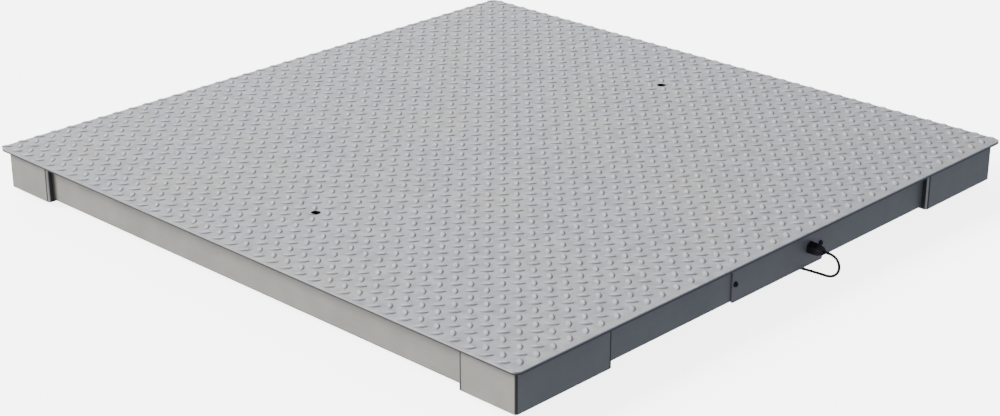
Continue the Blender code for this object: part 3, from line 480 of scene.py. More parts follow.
def steel_sheet(name, tone, warm, grain):
    """Bare steel sheet: cloudy tone, fine speckle, and grain that runs one way."""
    finish = Finish(name, Metallic=0.42)
    clouds = finish.remap(finish.noise(7.0, 5.0, 0.6), 0.32, 0.68)
    base = finish.blend(clouds, shade(tone, 0.94), shade(tone, 1.05))
    patches = finish.remap(finish.noise(3.1, 3.0), 0.45, 0.75, 0.0, 0.55)
    base = finish.blend(patches, base, warm)
    lines = finish.noise(1.0, 3.0, 0.6, finish.stretched(grain))
    base = finish.blend(finish.remap(lines, 0.35, 0.65, 0.0, 0.12), base, shade(tone, 0.72))
    speckle = finish.noise(520.0, 2.0)
    base = finish.blend(finish.remap(speckle, 0.52, 0.74, 0.0, 0.16), base, shade(tone, 1.5))
    finish.feed("Base Color", base)
    finish.roughen(26.0, 0.42, 0.58, 6.0, 0.65)
    fine = finish.relief(speckle, 0.00008, 0.5)
    finish.relief(lines, 0.0001, 0.35, fine)
    return finish


def deck_finish(colours):
    """Blasted tread plate: mottled, with bright rubbed crests on the lugs."""
    top = DECK_HIGH.z
    finish = Finish("deck_steel_blasted", Metallic=0.38)
    mottle = finish.remap(finish.noise(42.0, 7.0, 0.68), 0.36, 0.64)
    base = finish.blend(mottle, shade(colours.deck, 0.84), shade(colours.deck, 1.13))
    drift = finish.remap(finish.noise(6.5, 4.0, 0.6, distortion=0.6), 0.47, 0.70, 0.0, 0.75)
    base = finish.blend(drift, base, colours.deck_warm)
    speckle = finish.noise(430.0, 3.0)
    specks = finish.remap(speckle, 0.40, 0.68, 0.0, 0.40)
    base = finish.blend(specks, base, shade(colours.deck, 0.55))
    stain = finish.remap(finish.cells(5.0), 0.0, 0.13, 0.28, 0.0)
    base = finish.blend(stain, base, shade(colours.deck, 0.72))
    height = finish.axis("Z")
    wear_and_painted_highlight = finish.noise(60.0, 4.0, 0.7)
    crest = finish.remap(height, top + LUG_RUB[0], top + LUG_RUB[1])
    crest = finish.sum(crest, finish.remap(wear_and_painted_highlight, 0.3, 0.62, 0.25, 0.8), "MULTIPLY")
    base = finish.blend(crest, base, shade(colours.deck, 1.34))
    finish.feed("Base Color", base)
    rough = finish.remap(finish.noise(38.0, 6.0, 0.65), 0.3, 0.7, 0.44, 0.62)
    finish.feed("Roughness", finish.sum(rough, finish.remap(crest, 0.0, 1.0, 0.0, 0.14), "SUBTRACT"))
    pits = finish.relief(speckle, 0.00018, 0.55)
    finish.relief(finish.noise(34.0, 3.0), 0.0005, 0.25, pits)
    return finish.material


def edge_finish(colours):
    """The plate's sheared edge: fine upright tear lines on a tone darkened as painted shade, with a
    painted highlight along its top.
    """
    finish = Finish("deck_steel_sheared_painted_shade_highlight", Metallic=0.5)
    tears = finish.noise(1.0, 4.0, 0.7, finish.stretched((900.0, 900.0, 60.0)))
    # Painted shade: the tear lines sit on a tone far darker than the deck's.
    base = finish.blend(
        finish.remap(tears, 0.35, 0.65), shade(colours.deck, 0.34), shade(colours.deck, 0.56)
    )
    # Painted highlight: a bright band along the top of the edge.
    wear_and_painted_highlight = finish.remap(finish.axis("Z"), *(DECK_HIGH.z - depth for depth in EDGE_PAINTED_HIGHLIGHT))
    base = finish.blend(wear_and_painted_highlight, base, shade(colours.deck, 1.9))
    finish.feed("Base Color", base)
    finish.feed("Roughness", finish.remap(tears, 0.3, 0.7, 0.34, 0.50))
    finish.relief(tears, 0.0002, 0.5)
    return finish.material


def block_finish(colours):
    """Corner block steel: a dark weld line down its outer corner; by its inner ends, the dark seam, a
    band of painted shade on the bend and a pale painted highlight between them.
    """
    finish = steel_sheet(
        "block_steel_sheet_painted_bend_light", colours.frame, shade(colours.frame, 1.04), (3.0, 3.0, 120.0)
    )
    low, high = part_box("corner_block_front_right")
    along, across = finish.distance("X"), finish.distance("Y")
    outer = high.x - CORNER_WELD
    dark = finish.sum(
        finish.remap(along, outer, outer + CORNER_WELD_SOFT),
        finish.remap(across, outer, outer + CORNER_WELD_SOFT),
        "MULTIPLY",
    )
    pale = None
    # By each inner end: the dark seam, a band of painted shade on the bend, and a pale painted
    # highlight between them.
    for place, end in ((along, low.x), (across, -high.y)):
        for offset, half in SEAM_AND_PAINTED_SHADE_LINES:
            dark = finish.sum(dark, finish.band(place, end + offset, half), "MAXIMUM")
        edge = finish.band(place, end + SEAM_PAINTED_HIGHLIGHT[0], SEAM_PAINTED_HIGHLIGHT[1])
        pale = finish.sum(pale, edge, "MAXIMUM") if pale else edge
    base = finish.shader.inputs["Base Color"].links[0].from_socket
    base = finish.blend(pale, base, shade(colours.frame, 1.75))
    finish.feed("Base Color", finish.blend(dark, base, shade(colours.frame, 0.22)))
    return finish.material


def blackened_finish():
    """Oil-blackened steel, for bores and small screws; in the bores its darkness is also painted shade
    inside the holes.
    """
    finish = Finish("blackened_steel", Metallic=0.5)
    rub = finish.remap(finish.noise(260.0, 4.0, 0.7), 0.42, 0.72)
    finish.feed("Base Color", finish.blend(rub, (0.012, 0.012, 0.013), (0.050, 0.050, 0.052)))
    finish.feed("Roughness", finish.remap(rub, 0.0, 1.0, 0.34, 0.55))
    finish.relief(finish.noise(1200.0, 2.0), 0.00006, 0.4)
    return finish.material


def weld_finish():
    """Weld metal with straw and blue heat tint along it."""
    finish = Finish("weld_steel", Metallic=0.6)
    tint = finish.noise(55.0, 4.0)
    base = finish.blend(finish.remap(tint, 0.4, 0.62), (0.15, 0.15, 0.15), (0.19, 0.17, 0.145))
    blue = finish.remap(finish.noise(31.0), 0.52, 0.70, 0.0, 0.6)
    base = finish.blend(blue, base, (0.13, 0.15, 0.21))
    finish.feed("Base Color", base)
    finish.feed("Roughness", finish.remap(tint, 0.3, 0.7, 0.32, 0.55))
    finish.relief(finish.noise(900.0, 3.0), 0.0002, 0.5)
    return finish.material


def zinc_finish(colours):
    """Zinc plating: pale, with a faint straw and blue bloom."""
    finish = Finish("zinc_plate", Metallic=0.85)
    bloom = finish.noise(120.0, 4.0, 0.6)
    base = finish.blend(finish.remap(bloom, 0.40, 0.64), colours.zinc, (0.50, 0.49, 0.41))
    base = finish.blend(
        finish.remap(finish.noise(75.0, 3.0), 0.50, 0.70, 0.0, 0.7), base, (0.42, 0.47, 0.55)
    )
    finish.feed("Base Color", base)
    finish.roughen(300.0, 0.24, 0.44)
    finish.relief(finish.noise(1400.0, 2.0), 0.00005, 0.4)
    return finish.material


def pad_finish():
    """Turned steel of the foot pads, scuffed, and darker towards the bottom where it meets the floor.
    """
    finish = Finish("pad_steel_turned", Metallic=0.8)
    scuff = finish.remap(finish.noise(140.0, 5.0, 0.7), 0.35, 0.65)
    base = finish.blend(scuff, (0.40, 0.40, 0.40), (0.50, 0.50, 0.49))
    low = finish.remap(finish.axis("Z"), 0.0, 0.004, 0.7, 0.0)
    finish.feed("Base Color", finish.blend(low, base, (0.16, 0.15, 0.14)))
    finish.feed("Roughness", finish.remap(scuff, 0.0, 1.0, 0.32, 0.50))
    finish.relief(finish.noise(1.0, 3.0, 0.6, finish.stretched((60.0, 60.0, 2200.0))), 0.0001, 0.5)
    return finish.material


def nickel_finish(name):
    """Nickel plating, ground along its length."""
    finish = Finish(name, Metallic=0.9)
    lines = finish.noise(1.0, 4.0, 0.65, finish.stretched((14.0, 900.0, 900.0)))
    base = finish.blend(finish.remap(lines, 0.3, 0.7), (0.47, 0.46, 0.43), (0.60, 0.59, 0.56))
    finish.feed("Base Color", base)
    finish.roughen(80.0, 0.22, 0.36)
    finish.relief(lines, 0.00006, 0.5)
    return finish.material


def moulded(name, tone, grain, roughness):
    """Moulded plastic or rubber: an even tone, a fine grain and dusty high spots."""
    finish = Finish(name)
    dust = finish.remap(finish.noise(90.0, 5.0, 0.7), 0.50, 0.74, 0.0, 0.35)
    speck = finish.noise(grain, 3.0)
    base = finish.blend(finish.remap(speck, 0.35, 0.65), shade(tone, 0.86), shade(tone, 1.14))
    pale = [channel + 0.035 for channel in tone[:3]]
    finish.feed("Base Color", finish.blend(dust, base, pale))
    finish.roughen(160.0, *roughness)
    finish.relief(speck, 0.00008, 0.6)
    return finish.material


def board_finish():
    """Circuit board: green lacquer over a grid of copper tracks."""
    finish = Finish("board_lacquer", Metallic=0.0)
    places = [finish.axis(letter) for letter in "XZ"]
    pulses = [
        finish.node(
            "ShaderNodeMath", {0: finish.sum(place, pitch, "DIVIDE")}, operation="FRACT"
        ).outputs[0]
        for place, pitch in zip(places, (0.00508, 0.00762))
    ]
    tracks = [finish.remap(pulse, 0.16, 0.20, 0.8, 0.0) for pulse in pulses]
    wanted = finish.remap(finish.noise(140.0, 2.0), 0.48, 0.52)
    pattern = finish.sum(finish.sum(*tracks, "MAXIMUM"), wanted, "MULTIPLY")
    finish.feed("Base Color", finish.blend(pattern, (0.012, 0.11, 0.045), (0.035, 0.21, 0.09)))
    finish.roughen(300.0, 0.25, 0.4)
    finish.relief(pattern, 0.00005, 0.6)
    return finish.material


def floor_finish(tone):
    """A plain pale floor that glows evenly, apart from a painted shadow under the platform where the
    glow is cut.
    """
    finish = Finish("floor_glow_painted_shadow", Roughness=0.9)
    finish.shader.inputs["Emission Color"].default_value = (1, 1, 1, 1)
    # Painted shadow: the glow falls away under the platform.
    outside_painted_shadow = [
        finish.remap(finish.distance(letter), reach - SHADE_INSET, reach - SHADE_INSET + SHADE_SOFT)
        for letter, reach in (("X", -LEFT_LOW.x), ("Y", -FRONT_LOW.y))
    ]
    glow = finish.sum(finish.sum(*outside_painted_shadow, "MAXIMUM"), FLOOR_GLOW, "MULTIPLY")
    finish.feed("Emission Strength", glow)
    floor_mottle = finish.remap(finish.noise(1.3, 3.0), 0.3, 0.7)
    finish.feed("Base Color", finish.blend(floor_mottle, shade(tone, 0.99), shade(tone, 1.01)))
    return finish.material


FINISHES = {}


def lay_finishes(colours):
    """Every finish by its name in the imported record, made once."""
    if FINISHES:
        return FINISHES
    frame_sheet = steel_sheet(
        "frame_steel_sheet", colours.frame, shade(colours.frame, 1.03), (4.0, 4.0, 140.0)
    )
    cover_sheet = steel_sheet(
        "cover_steel_sheet", colours.cover, shade(colours.cover, 1.02), (5.0, 5.0, 180.0)
    )
    FINISHES.update(
        deck_steel=deck_finish(colours),
        deck_edge=edge_finish(colours),
        frame_steel=frame_sheet.material,
        block_steel=block_finish(colours),
        cover_steel=cover_sheet.material,
        weld=weld_finish(),
        blackened=blackened_finish(),
        zinc_steel=zinc_finish(colours),
        pad_steel=pad_finish(),
        cell_steel=nickel_finish("cell_steel_nickel"),
        box_plastic=moulded("box_plastic_grained", (0.30, 0.32, 0.34), 1500.0, (0.42, 0.58)),
        board_laminate=board_finish(),
        gland_plastic=moulded("gland_nylon", (0.011, 0.011, 0.012), 1100.0, (0.34, 0.50)),
        cable_rubber=moulded("cable_sheath", colours.rubber, 800.0, (0.40, 0.56)),
        lead_rubber=moulded("lead_sheath", (0.07, 0.07, 0.075), 800.0, (0.45, 0.6)),
        connector_metal=nickel_finish("connector_nickel"),
        tie_nylon=moulded("tie_nylon", (0.020, 0.020, 0.021), 900.0, (0.30, 0.45)),
    )
    return FINISHES


# Tools


class PLATFORM_OT_camera(bpy.types.Operator):
    """Places the camera above the platform's front left corner"""

    bl_idname = "platform.camera"
    bl_label = "Camera"

    def execute(self, context):
        data = bpy.data.cameras.new("camera")
        data.lens = CAMERA_LENS
        data.sensor_width = 36.0
        data.clip_end = 200.0
        camera = bpy.data.objects.new("camera", data)
        camera.location = CAMERA_PLACE
        heading = Vector(CAMERA_HEADING)
        camera.rotation_euler = heading.to_track_quat("-Z", "Y").to_euler()
        context.scene.collection.objects.link(camera)
        context.scene.camera = camera
        return {"FINISHED"}


def smooth_line(points):
    """Close points on a centripetal Catmull-Rom curve through a route."""
    route = [Vector(p) for p in points]
    route = [2 * route[0] - route[1]] + route + [2 * route[-1] - route[-2]]
    line = [route[1]]
    for a, b, c, d in zip(route, route[1:], route[2:], route[3:]):
        t1 = math.sqrt((b - a).length)
        t2 = t1 + math.sqrt((c - b).length)
        t3 = t2 + math.sqrt((d - c).length)
        count = max(2, math.ceil((c - b).length / LINE_STEP))
        for i in range(1, count + 1):
            t = t1 + (t2 - t1) * i / count
            ab = a.lerp(b, t / t1)
            bc = b.lerp(c, (t - t1) / (t2 - t1))
            cd = c.lerp(d, (t - t2) / (t3 - t2))
            first = ab.lerp(bc, t / t2)
            last = bc.lerp(cd, (t - t1) / (t3 - t1))
            point = first.lerp(last, (t - t1) / (t2 - t1))
            point.z = max(point.z, CABLE_REST)
            line.append(point)
    return line


def winding_places():
    """The (column, layer) of each turn: the bottom layer inwards, the inner columns back and
    forth up to the top, then the outer column down again."""
    outer = COIL_COLUMNS - 1
    places = [(column, 0) for column in range(outer, -1, -1)]
    for layer in range(1, COIL_LAYERS):
        columns = range(outer) if layer % 2 else range(outer - 1, -1, -1)
        places += [(column, layer) for column in columns]
    return places + [(outer, layer) for layer in range(COIL_LAYERS - 1, 0, -1)]


def coil_line(sizes):
    """Points round the coil, each turn moving over to the next one's place as it closes."""
    pitch = sizes.diameter
    inner = sizes.coil_radius - pitch * (COIL_COLUMNS - 1) / 2
    places = [
        (inner + pitch * column, CABLE_REST + pitch * layer) for column, layer in winding_places()
    ]
    points = []
    for turn, (radius, height) in enumerate(places):
        following = places[min(turn + 1, len(places) - 1)]
        last = turn == len(places) - 1
        count = sizes.turn_points // 2 + 1 if last else sizes.turn_points
        for i in range(count):
            share = i / sizes.turn_points
            shift = 0.0 if last else min(1.0, max(0.0, (share - 0.80) / 0.20))
            shift = shift * shift * (3 - 2 * shift)
            r = radius + (following[0] - radius) * shift
            z = height + (following[1] - height) * shift
            angle = math.tau * share
            points.append(COIL_CENTRE + Vector((r * math.cos(angle), r * math.sin(angle), z)))
    return points


class PLATFORM_OT_cable(bpy.types.Operator):
    """Makes the output cable from the gland to its connector, wound in a tied coil"""

    bl_idname = "platform.cable"
    bl_label = "Output cable"

    def execute(self, context):
        sizes = context.scene.platform_cable
        looks = lay_finishes(context.scene.platform_finish)
        connector_low, connector_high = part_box("output_connector")
        line = smooth_line(CABLE_ROUTE)
        coil = coil_line(sizes)
        end = Vector((coil[-1].x, connector_high.y - CONNECTOR_ENTRY, coil[-1].z))
        tail = [coil[-1].lerp(end, i / 6) for i in range(1, 7)]
        points = line + coil + tail
        curve = bpy.data.curves.new("output_cable_run", "CURVE")
        curve.dimensions = "3D"
        curve.bevel_depth = sizes.diameter / 2
        curve.bevel_resolution = 4
        curve.use_fill_caps = True
        spline = curve.splines.new("POLY")
        spline.points.add(len(points) - 1)
        for place, point in zip(points, spline.points):
            point.co = (*place, 1)
        curve.materials.append(looks["cable_rubber"])
        cable = bpy.data.objects.new("output_cable_run", curve)
        context.scene.collection.objects.link(cable)
        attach(cable, "platform")
        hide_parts("output_cable", "output_cable_coil")
        plug = self.make_connector(looks, connector_low, connector_high)
        tie = self.make_tie(sizes, looks)
        gland = make_dome_nut(looks)
        return {"FINISHED"}

    def make_tie(self, sizes, looks):
        """A strap round the bundle at the back of the coil, with its head on top."""
        reach = sizes.diameter * COIL_COLUMNS / 2 + TIE_THICKNESS * 0.6
        top = CABLE_REST + sizes.diameter * (COIL_LAYERS - 0.5) + TIE_THICKNESS * 0.7
        bottom = TIE_THICKNESS + TOUCH
        half = sizes.tie_width / 2
        y = COIL_CENTRE.y
        x = COIL_CENTRE.x - sizes.coil_radius
        bm = slab((x - reach, y - half, bottom), (x + reach, y + half, top))
        long_edges = [e for e in bm.edges if abs(e.verts[0].co.y - e.verts[1].co.y) > half]
        bevel(bm, long_edges, 2.6 * MM, 4)
        ends = [f for f in bm.faces if abs(f.normal.y) > 0.9]
        bmesh.ops.delete(bm, geom=ends, context="FACES_ONLY")
        bmesh.ops.recalc_face_normals(bm, faces=bm.faces)
        bmesh.ops.solidify(bm, geom=bm.faces[:], thickness=-TIE_THICKNESS)
        head_low = (x - TIE_HEAD_HALF_LENGTH, y - TIE_HEAD_HALF_WIDTH, top - 0.6 * MM)
        head_high = (x + TIE_HEAD_HALF_LENGTH, y + TIE_HEAD_HALF_WIDTH, top + 3.6 * MM)
        added(bm, slab(head_low, head_high, 0.8 * MM))
        tail_low = (x + 2.0 * MM, y - half * 0.92, top + 1.2 * MM)
        tail_high = (x + 9.5 * MM, y + half * 0.92, top + 2.3 * MM)
        added(bm, slab(tail_low, tail_high, 0.3 * MM))
        return piece("output_cable_tie", outward(bm), looks["tie_nylon"])

    def make_connector(self, looks, low, high):
        """A round metal connector: knurled ring, key slot and pins, and a tail."""
        centre = (low + high) / 2
        radius = (high.x - low.x) / 2
        length = high.y - low.y
        outline = [
            (0.0, 0.0115),
            (0.0060, 0.0115),
            (0.0062, 0.0004),
            (0.0070, 0.0),
            (CONNECTOR_KEY_RADIUS, 0.0006),
            (CONNECTOR_KEY_RADIUS, 0.0040),
            (radius - 0.0004, 0.0046),
            (radius, 0.0052),
            (radius, 0.0205),
            (radius - 0.0004, 0.0211),
            (CONNECTOR_WAIST, 0.0216),
            (CONNECTOR_WAIST, 0.0330),
            (0.0062, 0.0350),
            (0.0045, 0.0358),
            (0.0044, length - 0.0012),
            (0.0036, length),
            (0.0, length),
        ]
        bm = turned(outline, CONNECTOR_STEPS)
        start, end = CONNECTOR_RING
        for vert in bm.verts:
            if not start < vert.co.z < end or Vector(vert.co.xy).length <= radius - TOUCH:
                continue
            place = round(math.atan2(vert.co.y, vert.co.x) / (math.tau / CONNECTOR_STEPS))
            if place % 2:
                vert.co.xy *= 1 - KNURL_DEPTH / radius
        for turn in range(4):
            angle = math.tau * turn / 4 + math.radians(30)
            pin = turned(PIN_OUTLINE, 12)
            placed(pin, (PIN_CIRCLE * math.cos(angle), PIN_CIRCLE * math.sin(angle), 0))
            added(bm, pin)
        placed(bm, (centre.x, low.y, centre.z), ALONG_Y)
        return piece(
            "output_connector_shell",
            bm,
            looks["connector_metal"],
            stands_for=["output_connector"],
        )


def make_dome_nut(looks):
    """The gland's dome nut: a hexagon with eased corners that runs into a dome."""
    centre = middle("gland_dome_nut")
    length = NUT_HIGH.y - NUT_LOW.y
    across = NUT_HIGH.z - NUT_LOW.z
    flats = min(across, NUT_HIGH.x - NUT_LOW.x)
    hexagon_end = DOME_HEX_SHARE * length
    mouth, bore = DOME_MOUTH, DOME_BORE
    dome = flats / 2
    outline = [
        (bore, 0.0),
        (dome - 0.0005, 0.0),
        (dome, 0.0005),
        (dome, hexagon_end + 0.0005),
        *arc((0, hexagon_end + 0.0005), dome, 8, 36, 5),
        (mouth + 0.0024, length - 0.0040),
        (mouth + 0.0010, length - 0.0022),
        (mouth + 0.0002, length - 0.0006),
        (mouth - 0.0006, length),
        (bore + 0.0004, length),
        (bore, length - 0.0006),
    ]
    bm = turned(outline, 48, closed=True)
    hexagon = prism(flats, 0.0, hexagon_end, 0.0008)
    bm = carved(bm, hexagon, "UNION")
    bore_tool = turned([(0, -0.01), (bore, -0.01), (bore, 2 * length), (0, 2 * length)], 32)
    bm = carved(bm, bore_tool)
    placed(bm, (centre.x, NUT_HIGH.y, centre.z), FORWARD)
    return piece(
        "gland_dome_cap",
        bm,
        looks["gland_plastic"],
        sharp=30,
        stands_for=["gland_dome_nut"],
    )


class PLATFORM_OT_tread_plate(bpy.types.Operator):
    """Makes the tread plate with its lugs and lifting holes"""

    bl_idname = "platform.tread_plate"
    bl_label = "Tread plate"

    def execute(self, context):
        sizes = context.scene.platform_plate
        looks = lay_finishes(context.scene.platform_finish)
        holes = [middle("lifting_bush_left"), middle("lifting_bush_right")]
        bm = self.plate(sizes, holes)
        half_x, half_y = sizes.pitch_x / 2, sizes.pitch_y / 2
        first = (DECK_LOW.x + sizes.first_x, DECK_LOW.y + sizes.first_y)
        families = (
            (math.radians(45), first),
            (math.radians(-45), (first[0] - half_x, first[1] + half_y)),
        )
        for angle, start in families:
            added(bm, self.lugs(sizes, angle, start, holes))
        plate = piece(
            "deck_tread_plate",
            bm,
            [looks["deck_steel"], looks["deck_edge"], looks["blackened"]],
            sharp=48,
            stands_for=["deck_plate"],
        )
        self.flatten(plate)
        return {"FINISHED"}

    def plate(self, sizes, holes):
        """The plate itself, its rim and holes bevelled."""
        bm = bmesh.new()
        bmesh.ops.create_grid(bm, x_segments=1, y_segments=1, size=0.5)
        span = DECK_HIGH - DECK_LOW
        bmesh.ops.scale(bm, vec=(span.x, span.y, 1), verts=bm.verts)
        bmesh.ops.bevel(
            bm,
            geom=bm.verts[:],
            offset=DECK_CORNER_RADIUS,
            segments=10,
            affect="VERTICES",
            profile=0.5,
            material=-1,
        )
        bmesh.ops.delete(bm, geom=bm.faces[:], context="FACES_ONLY")
        for hole in holes:
            bmesh.ops.create_circle(
                bm,
                cap_ends=False,
                radius=LIFT_HOLE_DIAMETER / 2,
                segments=40,
                matrix=Matrix.Translation((hole.x, hole.y, 0)),
            )
        bmesh.ops.translate(bm, vec=(0, 0, DECK_HIGH.z), verts=bm.verts)
        bmesh.ops.triangle_fill(bm, edges=bm.edges[:], use_beauty=True)
        grown = bmesh.ops.extrude_face_region(bm, geom=bm.faces[:])
        lower = [g for g in grown["geom"] if isinstance(g, bmesh.types.BMVert)]
        bmesh.ops.translate(bm, vec=(0, 0, -span.z), verts=lower)
        bmesh.ops.recalc_face_normals(bm, faces=bm.faces)
        rims = [
            e
            for e in bm.edges
            if len(e.link_faces) == 2
            and e.calc_face_angle() > 1.0
            and abs(e.verts[0].co.z - e.verts[1].co.z) < 1e-6
        ]
        bevel(bm, rims, sizes.edge_break, 2)
        reach = LIFT_HOLE_DIAMETER / 2 + sizes.edge_break
        # Upright faces take the sheared edge finish with its painted shade and highlight; those in the
        # holes take blackened steel, dark as painted shade inside the holes.
        for face in bm.faces:
            upright = abs(face.normal.z) < 0.3
            middle_xy = face.calc_center_median().xy
            bored = any((middle_xy - hole.xy).length < reach for hole in holes)
            face.material_index = 2 if upright and bored else int(upright)
        return bm

    def flatten(self, plate):
        """Shades the plate's level faces flat, so that no bevel bends their light."""
        for face in plate.data.polygons:
            if abs(face.normal.z) > 0.999:
                face.use_smooth = False

    def lug(self, sizes, angle):
        """One lug: an arc spun half round its chord, pressed flat and closed below."""
        bm = bmesh.new()
        half, rise = sizes.lug_length / 2, sizes.lug_width / 2
        radius = (half * half + rise * rise) / (2 * rise)
        start = bm.verts.new((-half, 0, 0))
        sweep = 2 * math.asin(half / radius)
        bmesh.ops.spin(
            bm, geom=[start], cent=(0, rise - radius, 0), axis=(0, 0, -1), angle=sweep, steps=6
        )
        arc_geometry = bm.verts[:] + bm.edges[:]
        bmesh.ops.spin(bm, geom=arc_geometry, cent=(0, 0, 0), axis=(1, 0, 0), angle=math.pi, steps=5)
        bmesh.ops.remove_doubles(bm, verts=bm.verts, dist=1e-6)
        bmesh.ops.contextual_create(bm, geom=[e for e in bm.edges if e.is_boundary])
        bmesh.ops.recalc_face_normals(bm, faces=bm.faces)
        sunk = 0.15 * MM
        bmesh.ops.scale(bm, vec=(1, 1, (sizes.lug_height + sunk) / rise), verts=bm.verts)
        turn = Matrix.Rotation(angle, 4, "Z")
        down = Matrix.Translation((0, 0, DECK_HIGH.z - sunk))
        bmesh.ops.transform(bm, matrix=down @ turn, verts=bm.verts)
        return bm

    def lugs(self, sizes, angle, start, holes):
        """A whole family of lugs, trimmed at the plate's edges and cut by the holes."""
        pitch = (sizes.pitch_x, sizes.pitch_y)
        span = (DECK_HIGH.x - start[0], DECK_HIGH.y - start[1])
        counts = [int((reach + sizes.lug_length / 3) / step) + 1 for reach, step in zip(span, pitch)]
        one = self.lug(sizes, angle)
        bmesh.ops.translate(one, vec=(*start, 0), verts=one.verts)
        single = bpy.data.meshes.new("lug")
        one.to_mesh(single)
        rows = [
            {
                "count": count,
                "use_relative_offset": False,
                "use_constant_offset": True,
                "constant_offset_displace": offset,
            }
            for count, offset in zip(counts, ((pitch[0], 0, 0), (0, pitch[1], 0)))
        ]
        bm = evaluated(one, *(("ARRAY", row) for row in rows))
        reach = LIFT_HOLE_DIAMETER / 2 + sizes.lug_length / 2
        grid = [(column, row) for column in range(counts[0]) for row in range(counts[1])]
        origin, steps = Vector(start), Vector(pitch)
        cut = [
            place
            for hole in holes
            for place in grid
            if (origin + steps * Vector(place) - hole.xy).length < reach
        ]
        spare = [
            v
            for v in bm.verts
            if (round((v.co.x - start[0]) / pitch[0]), round((v.co.y - start[1]) / pitch[1])) in cut
        ]
        bmesh.ops.delete(bm, geom=spare, context="VERTS")
        trim = 0.2 * MM
        for corner, normal in (
            (DECK_HIGH, ALONG_X),
            (DECK_HIGH, ALONG_Y),
            (DECK_LOW, -ALONG_X),
            (DECK_LOW, -ALONG_Y),
        ):
            bmesh.ops.bisect_plane(
                bm,
                geom=bm.verts[:] + bm.edges[:] + bm.faces[:],
                plane_co=corner - trim * normal,
                plane_no=normal,
                clear_outer=True,
            )
            bmesh.ops.holes_fill(bm, edges=[e for e in bm.edges if e.is_boundary], sides=0)
        for column, row in cut:
            near = bmesh.new()
            near.from_mesh(single)
            bmesh.ops.translate(near, vec=(pitch[0] * column, pitch[1] * row, 0), verts=near.verts)
            for hole in holes:
                bore = LIFT_HOLE_DIAMETER / 2 + 0.1 * MM
                tool = turned([(0, 0), (bore, 0), (bore, 0.2), (0, 0.2)], 40)
                placed(tool, (hole.x, hole.y, 0))
                near = carved(near, tool)
            added(bm, near)
        bpy.data.meshes.remove(single)
        return bm


class PLATFORM_OT_cover_screws(bpy.types.Operator):
    """Makes the button-head screws of the access cover"""

    bl_idname = "platform.cover_screws"
    bl_label = "Cover screws"

    def execute(self, context):
        looks = lay_finishes(context.scene.platform_finish)
        for side in ("left", "right"):
            node = f"cover_screw_{side}"
            low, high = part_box(node)
            head = (high.x - low.x) / 2
            rise = COVER_LOW.y - low.y
            outline = [
                (0, COVER_LOW.y - high.y),
                (SCREW_SHANK - 0.0004, COVER_LOW.y - high.y),
                (SCREW_SHANK, COVER_LOW.y - high.y + 0.0005),
                (SCREW_SHANK, TOUCH),
                (head - 0.0002, TOUCH),
                (head, TOUCH + 0.0002),
                *[
                    (head * (0.62 + 0.38 * math.cos(a)), rise * (0.28 + 0.72 * math.sin(a)))
                    for a in SCREW_CROWN_ANGLES
                ],
                (0, rise),
            ]
            bm = turned(outline, 36)
            bm = carved(bm, prism(SCREW_SOCKET_FLATS, rise - SCREW_SOCKET_DEPTH, 2 * rise))
            centre = middle(node)
            placed(bm, (centre.x, COVER_LOW.y, centre.z), FORWARD)
            piece(
                f"cover_screw_{side}_button",
                bm,
                looks["blackened"],
                sharp=30,
                stands_for=[node],
            )
        return {"FINISHED"}


def thread(radius, pitch, low, high):
    """A raised screw thread round Z, a closed ridge on a plain core."""
    steps = 18
    depth = 0.54 * pitch
    core = radius - depth
    turns = int((high - low) / pitch) - 1
    bm = bmesh.new()
    root = core - 0.0001
    profile = ((root, 0), (radius, pitch * 0.44), (radius, pitch * 0.56), (root, pitch))
    points = [bm.verts.new((r, 0, low + z)) for r, z in profile]
    edges = [bm.edges.new(pair) for pair in zip(points, points[1:] + points[:1])]
    bmesh.ops.spin(
        bm,
        geom=points + edges,
        cent=(0, 0, 0),
        axis=UP,
        dvec=(0, 0, pitch / steps),
        angle=math.tau * turns,
        steps=steps * turns,
    )
    bmesh.ops.holes_fill(bm, edges=[e for e in bm.edges if e.is_boundary], sides=0)
    bmesh.ops.recalc_face_normals(bm, faces=bm.faces)
    chamfer = 0.0008
    outline = [(0, low), (core, low), (core, high - chamfer), (core - chamfer, high), (0, high)]
    return added(bm, turned(outline, steps))


class PLATFORM_OT_feet(bpy.types.Operator):
    """Makes the ball-ended threaded stems of the levelling feet"""

    bl_idname = "platform.feet"
    bl_label = "Foot stems"

    def execute(self, context):
        looks = lay_finishes(context.scene.platform_finish)
        for corner in CORNERS:
            node = f"foot_stem_{corner}"
            low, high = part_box(node)
            axis = middle(node)
            nut_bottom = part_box(f"foot_lock_nut_{corner}")[0].z
            flats = min(high.x - low.x, high.y - low.y)
            collar_top = nut_bottom - TOUCH
            collar_bottom = collar_top - COLLAR_HEIGHT
            centre = low.z + BALL_RADIUS
            lean = math.degrees(math.acos(NECK_RADIUS / BALL_RADIUS))
            outline = [
                *[(max(r, 0.0), z) for r, z in arc((0, centre), BALL_RADIUS, -90, lean, 12)],
                (NECK_RADIUS, collar_bottom + 0.001),
                (0, collar_bottom + 0.001),
            ]
            bm = turned(outline, 24)
            added(bm, prism(flats, collar_bottom, collar_top, 0.0006))
            added(bm, thread(STEM_RADIUS, STEM_PITCH, collar_top - 0.0005, high.z))
            placed(bm, (axis.x, axis.y, 0))
            piece(
                f"foot_stem_{corner}_threaded",
                bm,
                looks["zinc_steel"],
                body=f"stem_{corner}",
                stands_for=[node],
            )
        return {"FINISHED"}


